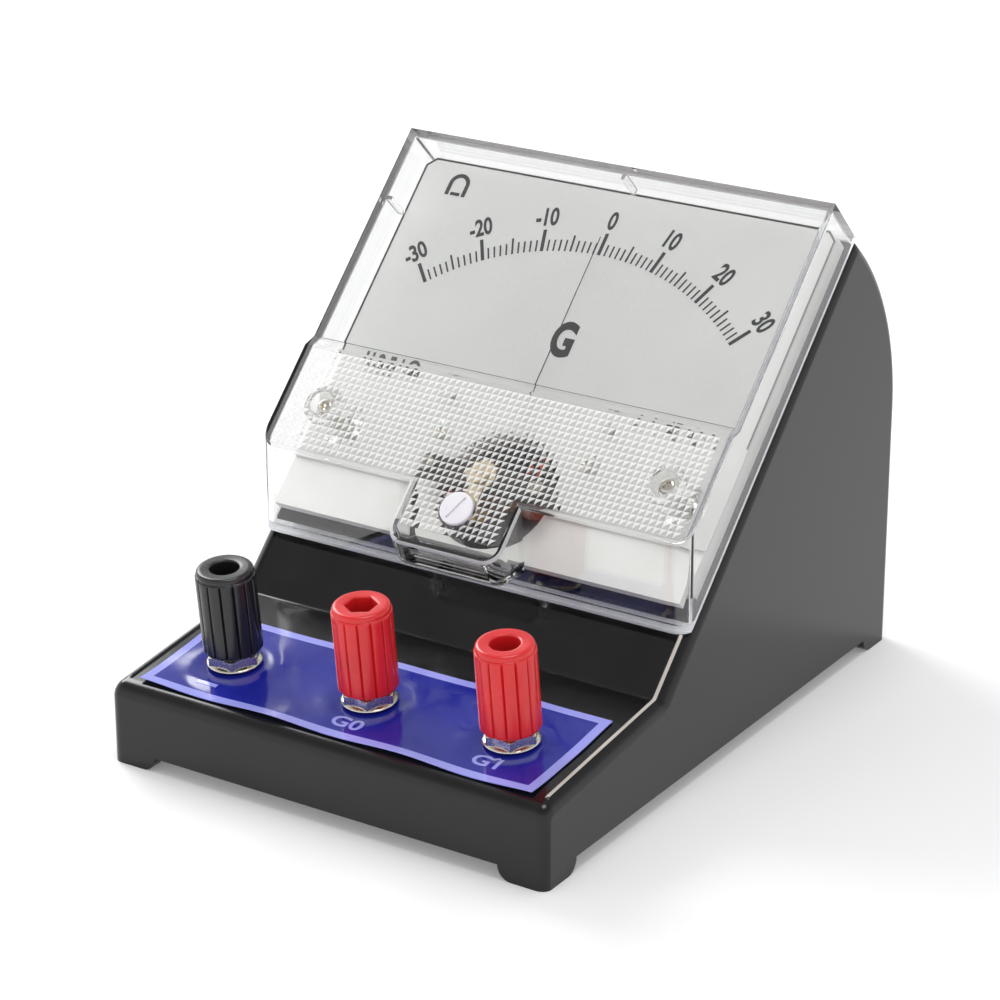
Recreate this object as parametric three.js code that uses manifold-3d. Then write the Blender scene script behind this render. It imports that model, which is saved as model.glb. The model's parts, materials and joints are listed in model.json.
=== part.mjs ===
// A bench galvanometer for school circuits: a wedge-shaped moulded case with a
// sloping meter under a clear cover, and three binding posts on its front deck.
// Millimetres. X is right, Y is back, Z is up. The origin is under the case's centre.
import * as THREE from 'three';
import { mergeVertices } from 'three/addons/utils/BufferGeometryUtils.js';
import Module from 'manifold-3d';

const wasm = await Module();
wasm.setup();

// ---- Driving dimensions ----

const GAP = 0.3;
const degrees = THREE.MathUtils.degToRad;

const WIDTH = 100;
const DEPTH = 134;
const WALL = 2.5;
const FOOT_HEIGHT = 3;
const FOOT_LENGTH = 10.5;
const FRONT_HEIGHT = 16.6;
const DECK_TILT = degrees(6.66);
const SLOPE = degrees(44.72);
const BACK_RADIUS = 51.4;
const BACK_CENTRE_HEIGHT = 52;

// The meter stands on the slope. Its frame starts at the lower end of the joint
// line: x right, y up the slope, z out of the slope.
const METER_Y = 53.84;
const METER_Z = 33.6;
const METER_LENGTH = 84.5;

const COVER_WIDTH = 99.2;
const COVER_WALL = 1.6;
const WINDOW_HEIGHT = 13.68;
const BAND_HEIGHT = 15.3;
const BAND_TOP = 31.6;
const BAND_BEVEL_TOP = 34.3;
const BAND_BOTTOM = 8.6;
const COVER_BOTTOM = 32;

const NOSE_HALF_WIDTH = 12.9;
const NOSE_FACE_END = -4.4;

const COVER_SCREW_X = 39.8;
const COVER_SCREW_Y = 20;
const BOSS_RADIUS = 4.2;
const WELL_RADIUS = 2.5;
const SCREW_SEAT = 12.4;

// Holes round the screws: a plain bore or pilot hole, and a smaller one.
const SCREW_BORE = 1.3;
const SMALL_BORE = 0.9;

const PIVOT_Y = 13.9;
const POINTER_LENGTH = 57;
const POINTER_HEIGHT = 7;
const POINTER_THICKNESS = 0.35;
const STOP_RADIUS = 26;
const STOP_ANGLE = degrees(46.5);

const BASE_BOTTOM = 2.6;
const BASE_TOP = 4.8;
const BASE_START = 1;
const BASE_MARGIN = 0.6;
const OPENING_RADIUS = 12.6;
const DIAL_BOTTOM = BASE_TOP + GAP;
const DIAL_TOP = DIAL_BOTTOM + 0.4;
const DIAL_START = 12;
const DIAL_END = 82.6;
const DIAL_HALF_WIDTH = COVER_WIDTH / 2 - COVER_WALL - GAP;
const DIAL_SCREW_X = 17.3;
const DIAL_SCREW_Y = 23.6;
const FRAME_SCREW_X = 11;
const FRAME_SCREW_Y = 31;

const CORE_RADIUS = 8.6;
const POLE_BORE = 11.3;
const COIL_HALF_WIDTH = 10.4;
const COIL_TOP = -0.2;
const COIL_BOTTOM = -15.8;
const COIL_WALL = 0.9;
const COIL_HALF_DEPTH = 1.6;
const FRAME_TOP = -0.2;
const FRAME_BOTTOM = -1.7;
const FRAME_HALF_WIDTH = 21;
const FRAME_START = 2.9;
const FRAME_END = 34.9;
const POLE_TOP = FRAME_BOTTOM - GAP;
const POLE_BOTTOM = -14;
const POLE_OUTER = 20;
const POLE_HALF_LENGTH = 10;
const MAGNET_LENGTH = 10;

const BRIDGE_BOTTOM = 10.2;
const BRIDGE_TOP = 11.3;
const BRIDGE_LEG_X = 12.7;
const BRIDGE_LEG_RADIUS = 1.5;
const BRIDGE_HALF_WIDTH = 2.5;
const JEWEL_RADIUS = 1.3;
const LOWER_BRIDGE_TOP = -19;
const LOWER_BRIDGE_BOTTOM = -20.2;

const ADJUSTER_Y = 4.9;
const ADJUSTER_RADIUS = 3.5;
const STEM_RADIUS = 2;
const PIN_OFFSET = 1.6;
const PIN_RADIUS = 0.5;
const LEVER_BOTTOM = 11.6;
const LEVER_TOP = 12.3;

const SHAFT_RADIUS = 0.5;
const SPRING_INNER = 1.3;
const SPRING_OUTER = 4.9;
const SPRING_TURNS = 3.5;
const SPRING_HEIGHT = 0.5;
const UPPER_SPRING = 8.9;
const LOWER_SPRING = -17.9;

// A binding post stands square on the deck. Its frame starts on the deck's face.
const POST_SPACING = 32;
const POST_Y = 16.8;
const LABEL_START = 2.9;
const LABEL_WIDTH = 90.3;
const LABEL_LENGTH = 28.6;
const LABEL_TOP = 0.6;
const STUD_RADIUS = 3;
const STUD_TOP = 17;
const STUD_BOTTOM = -9;
const SOCKET_RADIUS = 2;
const CAP_RADIUS = 5.9;
const CAP_BOTTOM = 3.8;
const CAP_TOP = 21.55;
const CAP_FLUTES = 14;
const CAP_HOLE = 2.8;
const CAP_RIM = 0.8;
const NUT_WIDTH = 9.4;
const FLANGE_RADIUS = 5.5;
const FLANGE_HEIGHT = 0.7;
const INSERT_RADIUS = 4;
const INSERT_TOP = 14;

const ROUND = 20;
const SMALL_ROUND = 12;

// ---- Materials ----

function material(color, roughness, metalness, opacity = 1) {
  return new THREE.MeshStandardMaterial({
    color,
    roughness,
    metalness,
    opacity,
    transparent: opacity < 1,
  });
}

const blackPlastic = () => material(0x1b1b1c, 0.3, 0);
const clearPlastic = () => material(0xf2f6f8, 0.08, 0, 0.3);
const whitePlastic = () => material(0xeeeeea, 0.45, 0);
const redPlastic = () => material(0xc01818, 0.35, 0);
const labelBlue = () => material(0x3a3f9c, 0.35, 0);
const dialSilver = () => material(0xd7d8d4, 0.5, 0.2);
const nickel = () => material(0xcfc8b4, 0.25, 1);
const steel = () => material(0x9a9a9a, 0.4, 1);
const brass = () => material(0xb8964a, 0.35, 1);
const copper = () => material(0xa85a32, 0.4, 1);
const aluminium = () => material(0xb9bbbd, 0.4, 1);
const castMetal = () => material(0x4a4a4c, 0.6, 0.6);

// ---- Solids ----

// Turns a closed three.js geometry into a solid that can be cut and joined.
function solid(geometry) {
  const bare = geometry.index ? geometry.toNonIndexed() : geometry.clone();
  bare.deleteAttribute('normal');
  bare.deleteAttribute('uv');
  const merged = mergeVertices(bare, 1e-5);
  return new wasm.Manifold(
    new wasm.Mesh({
      numProp: 3,
      vertProperties: new Float32Array(merged.attributes.position.array),
      triVerts: new Uint32Array(merged.index.array),
    }),
  );
}

function geometryOf(shape) {
  const mesh = shape.getMesh();
  const geometry = new THREE.BufferGeometry();
  geometry.setAttribute('position', new THREE.BufferAttribute(mesh.vertProperties, 3));
  geometry.setIndex(new THREE.BufferAttribute(mesh.triVerts, 1));
  geometry.computeVertexNormals();
  return geometry;
}

function joined(...shapes) {
  return shapes.reduce((whole, next) => whole.add(next));
}

function cut(shape, ...tools) {
  return tools.reduce((rest, tool) => rest.subtract(tool), shape);
}

// A block between two corners.
function block(x0, x1, y0, y1, z0, z1) {
  const box = new THREE.BoxGeometry(x1 - x0, y1 - y0, z1 - z0);
  box.translate((x0 + x1) / 2, (y0 + y1) / 2, (z0 + z1) / 2);
  return solid(box);
}

// An upright cylinder, or a cone where its two radii differ.
function rod(x, y, radius, z0, z1, sides = ROUND, topRadius = radius) {
  const cylinder = new THREE.CylinderGeometry(topRadius, radius, z1 - z0, sides);
  cylinder.rotateX(Math.PI / 2);
  cylinder.translate(x, y, (z0 + z1) / 2);
  return solid(cylinder);
}

// A flat shape pushed up from z0 to z1.
function slab(shape, z0, z1, curveSegments = 8) {
  const geometry = new THREE.ExtrudeGeometry(shape, {
    depth: z1 - z0,
    bevelEnabled: false,
    curveSegments,
  });
  geometry.translate(0, 0, z0);
  return solid(geometry);
}

// A side view, drawn as (y, z), made into a solid from -halfWidth to +halfWidth in x.
function sideways(shape, halfWidth, bevel = 0) {
  const geometry = new THREE.ExtrudeGeometry(shape, {
    depth: 2 * (halfWidth - bevel),
    bevelEnabled: bevel > 0,
    bevelSize: bevel,
    bevelThickness: bevel,
    bevelOffset: -bevel,
    bevelSegments: 3,
    curveSegments: 6,
  });
  geometry.translate(0, 0, bevel - halfWidth);
  geometry.rotateY(Math.PI / 2);
  geometry.rotateX(Math.PI / 2);
  return solid(geometry);
}

function polygon(points) {
  return new THREE.Shape(points.map(([x, y]) => new THREE.Vector2(x, y)));
}

function tube(points, radius, steps) {
  const section = new THREE.Shape();
  section.absarc(0, 0, radius, 0, 2 * Math.PI);
  const curve = new THREE.CatmullRomCurve3(points.map((p) => new THREE.Vector3(...p)));
  return new THREE.ExtrudeGeometry(section, {
    steps,
    curveSegments: 4,
    extrudePath: curve,
  });
}

function named(name, geometry, surface) {
  const mesh = new THREE.Mesh(geometry, surface);
  mesh.name = name;
  return mesh;
}

function part(name, shape, surface) {
  return named(name, geometryOf(shape), surface);
}

function hexagon(acrossFlats) {
  const radius = acrossFlats / Math.sqrt(3);
  const corners = Array.from({ length: 6 }, (_, i) => {
    const angle = (i * Math.PI) / 3;
    return [radius * Math.cos(angle), radius * Math.sin(angle)];
  });
  return polygon(corners);
}

// A pan-head screw standing with its head up; (x, y) is its axis.
function screwShape(x, y, headRadius, headTop, headDepth, shankRadius, end) {
  const head = rod(x, y, headRadius, headTop - headDepth, headTop, SMALL_ROUND);
  const shank = rod(x, y, shankRadius, end, headTop - headDepth + 0.1, SMALL_ROUND);
  const slot = 0.5 * headRadius;
  const across = block(x - slot, x + slot, y - 0.3, y + 0.3, headTop - 0.5, headTop + 1);
  const along = block(x - 0.3, x + 0.3, y - slot, y + slot, headTop - 0.5, headTop + 1);
  return cut(joined(head, shank), across, along);
}

// ---- Frames ----

const root = new THREE.Group();

const meter = new THREE.Group();
meter.position.set(0, METER_Y - DEPTH / 2, METER_Z);
meter.rotation.x = SLOPE;
root.add(meter);

const deck = new THREE.Group();
deck.position.set(0, -DEPTH / 2, FRONT_HEIGHT);
deck.rotation.x = DECK_TILT;
root.add(deck);

// Places a solid drawn in the meter's or the deck's frame into the case's frame.
function placed(group, shape) {
  group.updateMatrixWorld();
  return solid(geometryOf(shape).applyMatrix4(group.matrixWorld));
}

// ---- Case ----

// The case's side view, drawn in by `inset` with edges rounded over about `edge`;
// y runs from the front wall's face.
function caseOutline(inset, bottom, edge) {
  const deckDrop = inset / Math.cos(DECK_TILT);
  const slopeDrop = inset / Math.cos(SLOPE);
  const deckHeight = (y) => FRONT_HEIGHT + y * Math.tan(DECK_TILT) - deckDrop;
  const slopeHeight = (y) => METER_Z + (y - METER_Y) * Math.tan(SLOPE) - slopeDrop;
  const crease = (METER_Z - METER_Y * Math.tan(SLOPE) - slopeDrop - deckHeight(0))
    / (Math.tan(DECK_TILT) - Math.tan(SLOPE));
  const radius = BACK_RADIUS - inset;
  const centreY = DEPTH - BACK_RADIUS;
  // The slope line's distance below the arc's centre fixes where the two meet.
  const offset = (slopeHeight(centreY) - BACK_CENTRE_HEIGHT) * Math.cos(SLOPE);
  const top = Math.PI / 2 + SLOPE - Math.acos(offset / radius);
  const outline = new THREE.Shape();
  outline.moveTo(inset, bottom);
  outline.lineTo(inset, deckHeight(inset) - edge);
  outline.quadraticCurveTo(inset, deckHeight(inset), inset + edge, deckHeight(inset + edge));
  outline.lineTo(crease - edge, deckHeight(crease - edge));
  outline.quadraticCurveTo(crease, deckHeight(crease), crease + edge, slopeHeight(crease + edge));
  outline.absarc(centreY, BACK_CENTRE_HEIGHT, radius, top, 0, true);
  outline.lineTo(DEPTH - inset, bottom);
  outline.closePath();
  return outline;
}

// Columns inside the corners take the base plate's screws.
const COLUMN_X = 42.5;
const COLUMN_INSET = 8;
const COLUMN_RADIUS = 4;
const COLUMNS = [COLUMN_INSET, DEPTH - COLUMN_INSET].flatMap((y) => [
  [-COLUMN_X, y],
  [COLUMN_X, y],
]);
const PLATE_BOTTOM = FOOT_HEIGHT + GAP;
const PLATE_TOP = PLATE_BOTTOM + 2;
const METER_HOLE = { halfWidth: 23, start: 1.5, end: 37 };

function centred(shape) {
  return shape.translate([0, -DEPTH / 2, 0]);
}

// The gaps between the corner feet, whose inner ends lean.
function footCuts() {
  const inner = WIDTH / 2 - FOOT_LENGTH;
  const lean = 3;
  const across = polygon([
    [-inner - lean, -1],
    [inner + lean, -1],
    [inner, FOOT_HEIGHT],
    [-inner, FOOT_HEIGHT],
  ]);
  const front = new THREE.ExtrudeGeometry(across, { depth: DEPTH + 2, bevelEnabled: false });
  front.rotateX(Math.PI / 2);
  front.translate(0, DEPTH + 1, 0);
  const along = polygon([
    [FOOT_LENGTH - lean, -1],
    [DEPTH - FOOT_LENGTH + lean, -1],
    [DEPTH - FOOT_LENGTH, FOOT_HEIGHT],
    [FOOT_LENGTH, FOOT_HEIGHT],
  ]);
  return [solid(front), sideways(along, WIDTH)];
}

function housing() {
  const outer = sideways(caseOutline(0, 0, 3.5), WIDTH / 2, 2.4);
  const hollow = sideways(caseOutline(WALL, -1, 1.5), WIDTH / 2 - WALL);
  const columns = COLUMNS.map(([x, y]) =>
    rod(x, y, COLUMN_RADIUS, PLATE_TOP + GAP, 110, SMALL_ROUND));
  const lined = joined(outer.subtract(hollow), joined(...columns).intersect(outer));
  const pilots = COLUMNS.map(([x, y]) => rod(x, y, SCREW_BORE, 0, 13, SMALL_ROUND));
  const shell = centred(cut(lined, ...footCuts(), ...pilots));
  const { halfWidth, start, end } = METER_HOLE;
  const meterHole = block(-halfWidth, halfWidth, start, end, -8, 2);
  const screwHoles = [-1, 1].map((side) =>
    rod(side * COVER_SCREW_X, COVER_SCREW_Y, SCREW_BORE, -8, 2, SMALL_ROUND));
  const postHoles = [-1, 0, 1].map((place) =>
    rod(place * POST_SPACING, POST_Y, STUD_RADIUS + GAP, -6, 2));
  return cut(
    shell,
    ...[meterHole, ...screwHoles].map((shape) => placed(meter, shape)),
    ...postHoles.map((shape) => placed(deck, shape)),
  );
}

function basePlate() {
  const inset = WALL + GAP;
  const half = WIDTH / 2 - inset;
  const plate = block(-half, half, inset, DEPTH - inset, PLATE_BOTTOM, PLATE_TOP);
  const holes = COLUMNS.map(([x, y]) => rod(x, y, SCREW_BORE, 0, 9, SMALL_ROUND));
  return centred(cut(plate, ...holes));
}

root.add(part('housing', housing(), blackPlastic()));
root.add(part('base_plate', basePlate(), blackPlastic()));
COLUMNS.forEach(([x, y], i) => {
  // Drawn head up, then turned over: the head ends under the plate.
  const headDepth = 1.2;
  const screw = screwShape(0, 0, 2.2, 0, headDepth, 1, -8).rotate([180, 0, 0]);
  const place = screw.translate([x, y - DEPTH / 2, FOOT_HEIGHT - headDepth]);
  root.add(part(`base_screw_${i + 1}`, place, steel()));
});

// ---- Deck: label and binding posts ----

function labelPlate() {
  const half = LABEL_WIDTH / 2;
  const sheet = block(-half, half, LABEL_START, LABEL_START + LABEL_LENGTH, GAP, LABEL_TOP);
  const holes = [-1, 0, 1].map((place) =>
    rod(place * POST_SPACING, POST_Y, STUD_RADIUS + GAP, -1, 2, SMALL_ROUND));
  return cut(sheet, ...holes);
}

deck.add(part('label_plate', labelPlate(), labelBlue()));

function stud() {
  const body = rod(0, 0, STUD_RADIUS, STUD_BOTTOM, STUD_TOP);
  const socket = rod(0, 0, SOCKET_RADIUS, CAP_BOTTOM + 1, STUD_TOP + 1);
  return body.subtract(socket);
}

function flangeNut() {
  const bottom = LABEL_TOP + GAP;
  const flangeTop = bottom + FLANGE_HEIGHT;
  const flange = rod(0, 0, FLANGE_RADIUS, bottom, flangeTop);
  const nut = slab(hexagon(NUT_WIDTH), flangeTop - 0.1, CAP_BOTTOM - GAP);
  return cut(joined(flange, nut), rod(0, 0, STUD_RADIUS + GAP, 0, 9));
}

function lowerNut() {
  return cut(slab(hexagon(NUT_WIDTH), -8, -5.4), rod(0, 0, STUD_RADIUS + GAP, -9, 0));
}

function insert() {
  const bush = rod(0, 0, INSERT_RADIUS, CAP_BOTTOM + 0.4, INSERT_TOP);
  return bush.subtract(rod(0, 0, STUD_RADIUS + GAP, 0, 20));
}

// A grip with shallow flutes, a smooth rim and a stepped bore.
function cap() {
  const sides = 2 * CAP_FLUTES;
  const crownBottom = CAP_TOP - CAP_RIM;
  const barrel = rod(0, 0, CAP_RADIUS, CAP_BOTTOM, crownBottom, sides);
  const crown = rod(0, 0, CAP_RADIUS, crownBottom, CAP_TOP, sides, CAP_RADIUS - CAP_RIM);
  const flutes = Array.from({ length: CAP_FLUTES }, (_, i) => {
    const angle = (2 * Math.PI * i) / CAP_FLUTES;
    const reach = CAP_RADIUS + 0.35;
    return rod(reach * Math.cos(angle), reach * Math.sin(angle), 0.7, 0, CAP_TOP - 2.6, 5);
  });
  const bore = joined(
    rod(0, 0, INSERT_RADIUS + GAP, 0, INSERT_TOP + GAP),
    rod(0, 0, STUD_RADIUS + GAP, 0, STUD_TOP + 0.5),
    rod(0, 0, CAP_HOLE, 0, CAP_TOP + 1),
  );
  return cut(joined(barrel, crown), ...flutes, bore);
}

const POSTS = [
  { name: 'minus', x: -POST_SPACING, surface: blackPlastic },
  { name: 'g0', x: 0, surface: redPlastic },
  { name: 'g1', x: POST_SPACING, surface: redPlastic },
];

for (const post of POSTS) {
  const group = new THREE.Group();
  group.position.set(post.x, POST_Y, 0);
  group.add(part(`post_${post.name}_stud`, stud(), nickel()));
  group.add(part(`post_${post.name}_nut`, flangeNut(), nickel()));
  group.add(part(`post_${post.name}_lower_nut`, lowerNut(), nickel()));
  group.add(part(`post_${post.name}_insert`, insert(), brass()));
  group.add(part(`post_${post.name}_cap`, cap(), post.surface()));
  deck.add(group);
}

// ---- Clear cover ----

// Steps in the meter's frame (y, z) for a move straight down or straight back.
const down = (length) => [-length * Math.sin(SLOPE), -length * Math.cos(SLOPE)];
const back = (length) => [length * Math.cos(SLOPE), -length * Math.sin(SLOPE)];
const heightOf = (y, z) => METER_Z + y * Math.sin(SLOPE) + z * Math.cos(SLOPE);
const plus = (a, b) => [a[0] + b[0], a[1] + b[1]];

// The cover's side view, drawn in by `inset` and running down to `foot`.
function coverOutline(inset, foot) {
  const band = BAND_HEIGHT - inset;
  const window = WINDOW_HEIGHT - inset;
  const lip = [BAND_BOTTOM + 0.41 * inset, band];
  const corner = plus(lip, down(heightOf(...lip) - COVER_BOTTOM - inset));
  const heel = plus(corner, back((corner[1] - foot) / Math.sin(SLOPE)));
  return polygon([
    heel,
    [METER_LENGTH - inset, foot],
    [METER_LENGTH - inset, window],
    [BAND_BEVEL_TOP, window],
    [BAND_TOP, band],
    lip,
    corner,
  ]);
}

// The nose that carries the zero adjuster, drawn the same way.
function noseOutline(inset) {
  const face = BAND_HEIGHT - inset;
  return polygon([
    [BAND_BOTTOM + 2, face],
    [NOSE_FACE_END + inset, face],
    [NOSE_FACE_END + inset - 1.9, face - 7.1 + 1.2 * inset],
    [-1.7 + inset, 3.7 + inset],
    [BAND_BOTTOM + 2, 3.7 + inset],
  ]);
}

function cover() {
  const half = COVER_WIDTH / 2;
  const shell = joined(
    sideways(coverOutline(0, GAP), half),
    sideways(noseOutline(0), NOSE_HALF_WIDTH),
  );
  const hollow = joined(
    sideways(coverOutline(COVER_WALL, -2), half - COVER_WALL),
    sideways(noseOutline(COVER_WALL), NOSE_HALF_WIDTH - COVER_WALL),
  );
  const sides = [-1, 1];
  const bosses = sides.map((side) =>
    rod(side * COVER_SCREW_X, COVER_SCREW_Y, BOSS_RADIUS, BASE_TOP + GAP, BAND_HEIGHT));
  const recesses = sides.map((side) =>
    rod(side * COVER_SCREW_X, COVER_SCREW_Y, WELL_RADIUS, SCREW_SEAT, BAND_HEIGHT + 1));
  const bores = sides.map((side) =>
    rod(side * COVER_SCREW_X, COVER_SCREW_Y, SCREW_BORE, 0, 13, SMALL_ROUND));
  const dish = rod(0, ADJUSTER_Y, ADJUSTER_RADIUS + 0.4, BAND_HEIGHT - 0.6, BAND_HEIGHT + 1);
  const hole = rod(0, ADJUSTER_Y, STEM_RADIUS + GAP, 5, BAND_HEIGHT + 1);
  return cut(joined(shell.subtract(hollow), ...bosses), ...recesses, ...bores, dish, hole);
}

meter.add(part('meter_cover', cover(), clearPlastic()));
for (const [side, word] of [[-1, 'left'], [1, 'right']]) {
  const head = { radius: 1.75, depth: 1.3 };
  const top = SCREW_SEAT + GAP + head.depth;
  const x = side * COVER_SCREW_X;
  const shape = screwShape(x, COVER_SCREW_Y, head.radius, top, head.depth, 1, -4);
  meter.add(part(`cover_screw_${word}`, shape, nickel()));
}

// ---- Meter base and dial ----

const PIN_BORE = 0.8;
const DIAL_SCREW_BORE = 1.1;

function stopPlace(side) {
  const x = side * STOP_RADIUS * Math.sin(STOP_ANGLE);
  return [x, PIVOT_Y + STOP_RADIUS * Math.cos(STOP_ANGLE)];
}

// A notch in the opening's edge lets a leg of the upper bridge through.
function legNotch(side) {
  return rod(side * BRIDGE_LEG_X, PIVOT_Y, BRIDGE_LEG_RADIUS + 0.4, 0, 9, SMALL_ROUND);
}

// The base ends short of the dial's edges, and a skirt round three sides carries it.
function meterBase() {
  const half = DIAL_HALF_WIDTH - BASE_MARGIN;
  const end = DIAL_END - BASE_MARGIN;
  const skirt = 1.6;
  const skirtTop = BASE_BOTTOM + 0.1;
  const plate = block(-half, half, BASE_START, end, BASE_BOTTOM, BASE_TOP);
  const left = block(-half, skirt - half, BASE_START + 3, end, GAP, skirtTop);
  const right = block(half - skirt, half, BASE_START + 3, end, GAP, skirtTop);
  const top = block(-half, half, end - skirt, end, GAP, skirtTop);
  const feet = [-1, 1].map((side) =>
    rod(side * FRAME_SCREW_X, FRAME_SCREW_Y, 2.6, FRAME_TOP + GAP, skirtTop));
  const cuts = [rod(0, PIVOT_Y, OPENING_RADIUS, 0, 9, 40)];
  for (const side of [-1, 1]) {
    cuts.push(rod(side * COVER_SCREW_X, COVER_SCREW_Y, SCREW_BORE, 0, 9, SMALL_ROUND));
    cuts.push(rod(side * DIAL_SCREW_X, DIAL_SCREW_Y, DIAL_SCREW_BORE, 0, 9, SMALL_ROUND));
    cuts.push(rod(side * FRAME_SCREW_X, FRAME_SCREW_Y, SCREW_BORE, -1, 9, SMALL_ROUND));
    cuts.push(rod(side * FRAME_SCREW_X, FRAME_SCREW_Y, 2.4, 3.2, 9, SMALL_ROUND));
    cuts.push(rod(...stopPlace(side), PIN_BORE, 0, 9, SMALL_ROUND));
    cuts.push(legNotch(side));
  }
  return cut(joined(plate, left, right, top, ...feet), ...cuts);
}

function dialPlate() {
  const half = DIAL_HALF_WIDTH;
  const nip = 2;
  const sheet = polygon([
    [-half, DIAL_START],
    [half, DIAL_START],
    [half, DIAL_END - nip],
    [half - nip, DIAL_END],
    [nip - half, DIAL_END],
    [-half, DIAL_END - nip],
  ]);
  const cuts = [rod(0, PIVOT_Y, OPENING_RADIUS + 0.4, 0, 9, 40)];
  cuts.push(block(-OPENING_RADIUS, OPENING_RADIUS, 0, PIVOT_Y, 0, 9));
  for (const side of [-1, 1]) {
    cuts.push(rod(side * COVER_SCREW_X, COVER_SCREW_Y, BOSS_RADIUS + 0.4, 0, 9));
    cuts.push(rod(side * DIAL_SCREW_X, DIAL_SCREW_Y, DIAL_SCREW_BORE, 0, 9, SMALL_ROUND));
    cuts.push(rod(...stopPlace(side), PIN_BORE, 0, 9, SMALL_ROUND));
    cuts.push(legNotch(side));
  }
  return cut(slab(sheet, DIAL_BOTTOM, DIAL_TOP), ...cuts);
}

meter.add(part('meter_base', meterBase(), whitePlastic()));
meter.add(part('dial_plate', dialPlate(), dialSilver()));
for (const [side, word] of [[-1, 'left'], [1, 'right']]) {
  const dialX = side * DIAL_SCREW_X;
  const frameX = side * FRAME_SCREW_X;
  const dialScrew = screwShape(dialX, DIAL_SCREW_Y, 1.5, DIAL_TOP + 1, 0.7, 0.8, 2);
  const frameScrew = screwShape(frameX, FRAME_SCREW_Y, 2, 4.6, 1.1, 1, -1.9);
  const pin = rod(...stopPlace(side), 0.5, BASE_BOTTOM, POINTER_HEIGHT + 1.2, SMALL_ROUND);
  meter.add(part(`dial_screw_${word}`, dialScrew, nickel()));
  meter.add(part(`frame_screw_${word}`, frameScrew, steel()));
  meter.add(part(`stop_pin_${word}`, pin, nickel()));
}

// ---- Fixed movement: frame, poles, magnet, core and bridges ----

function movementFrame() {
  const half = FRAME_HALF_WIDTH;
  const plate = block(-half, half, FRAME_START, FRAME_END, FRAME_BOTTOM, FRAME_TOP);
  const cuts = [rod(0, PIVOT_Y, POLE_BORE + GAP, -3, 1, 32)];
  for (const side of [-1, 1]) {
    cuts.push(rod(side * FRAME_SCREW_X, FRAME_SCREW_Y, SCREW_BORE, -3, 1, SMALL_ROUND));
    cuts.push(rod(side * BRIDGE_LEG_X, PIVOT_Y, SMALL_BORE, -3, 1, SMALL_ROUND));
  }
  return cut(plate, ...cuts);
}

function polePiece(side) {
  const [left, right] = side < 0 ? [-POLE_OUTER, -6] : [6, POLE_OUTER];
  const start = PIVOT_Y - POLE_HALF_LENGTH;
  const end = PIVOT_Y + POLE_HALF_LENGTH;
  const body = block(left, right, start, end, POLE_BOTTOM, POLE_TOP);
  return body.subtract(rod(0, PIVOT_Y, POLE_BORE, -20, 1, 32));
}

function magnetBar() {
  const start = PIVOT_Y + POLE_HALF_LENGTH + GAP;
  const end = start + MAGNET_LENGTH;
  return block(-POLE_OUTER, POLE_OUTER, start, end, POLE_BOTTOM, POLE_TOP);
}

// The core hangs from the magnet by a lug between the two poles.
function core() {
  const barrel = rod(0, PIVOT_Y, CORE_RADIUS, POLE_BOTTOM + 0.5, POLE_TOP - 0.5, 32);
  const lug = block(-1.5, 1.5, PIVOT_Y, PIVOT_Y + POLE_HALF_LENGTH, -9.5, -6.5);
  return joined(barrel, lug);
}

function bridgePlate(halfLength, bottom, top) {
  const start = PIVOT_Y - BRIDGE_HALF_WIDTH;
  const end = PIVOT_Y + BRIDGE_HALF_WIDTH;
  return block(-halfLength, halfLength, start, end, bottom, top);
}

function upperBridge() {
  const plate = bridgePlate(15, BRIDGE_BOTTOM, BRIDGE_TOP);
  const jewelHole = rod(0, PIVOT_Y, JEWEL_RADIUS + GAP, 0, 12);
  const legs = [-1, 1].map((side) =>
    rod(side * BRIDGE_LEG_X, PIVOT_Y, BRIDGE_LEG_RADIUS, FRAME_TOP + GAP, BRIDGE_BOTTOM + 0.1));
  const bores = [-1, 1].map((side) =>
    rod(side * BRIDGE_LEG_X, PIVOT_Y, SMALL_BORE, -1, BRIDGE_TOP + 1, SMALL_ROUND));
  return cut(joined(plate, ...legs), jewelHole, ...bores);
}

// The lower bridge stands up against the poles and holds the lower spring's outer end.
function lowerBridge() {
  const bottom = LOWER_BRIDGE_BOTTOM;
  const top = LOWER_BRIDGE_TOP;
  const plate = bridgePlate(15.5, bottom, top);
  const legs = [-14, 14].map((x) => {
    const start = PIVOT_Y - BRIDGE_HALF_WIDTH;
    const end = PIVOT_Y + BRIDGE_HALF_WIDTH;
    return block(x - 1.5, x + 1.5, start, end, top - 0.1, POLE_BOTTOM - GAP);
  });
  const tongue = block(-1.2, 1.2, PIVOT_Y + 2, PIVOT_Y + 6.3, bottom, top);
  const post = block(-0.5, 0.5, PIVOT_Y + 5.4, PIVOT_Y + 6.3, top - 0.1, -17.3);
  const jewelHole = rod(0, PIVOT_Y, JEWEL_RADIUS + GAP, -22, -18);
  return cut(joined(plate, ...legs, tongue, post), jewelHole);
}

// A threaded jewel screw, drawn pointing down with its cup at the lower end.
function jewelScrew(end, headBottom, headTop) {
  const body = joined(
    rod(0, 0, JEWEL_RADIUS, end, headTop, SMALL_ROUND),
    rod(0, 0, 1.9, headBottom, headTop, SMALL_ROUND),
  );
  const cup = rod(0, 0, 0.9, end - 0.1, end + 0.9, SMALL_ROUND, 0.2);
  const slot = block(-3, 3, -0.25, 0.25, headTop - 0.35, headTop + 1);
  return cut(body, cup, slot);
}

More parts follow.
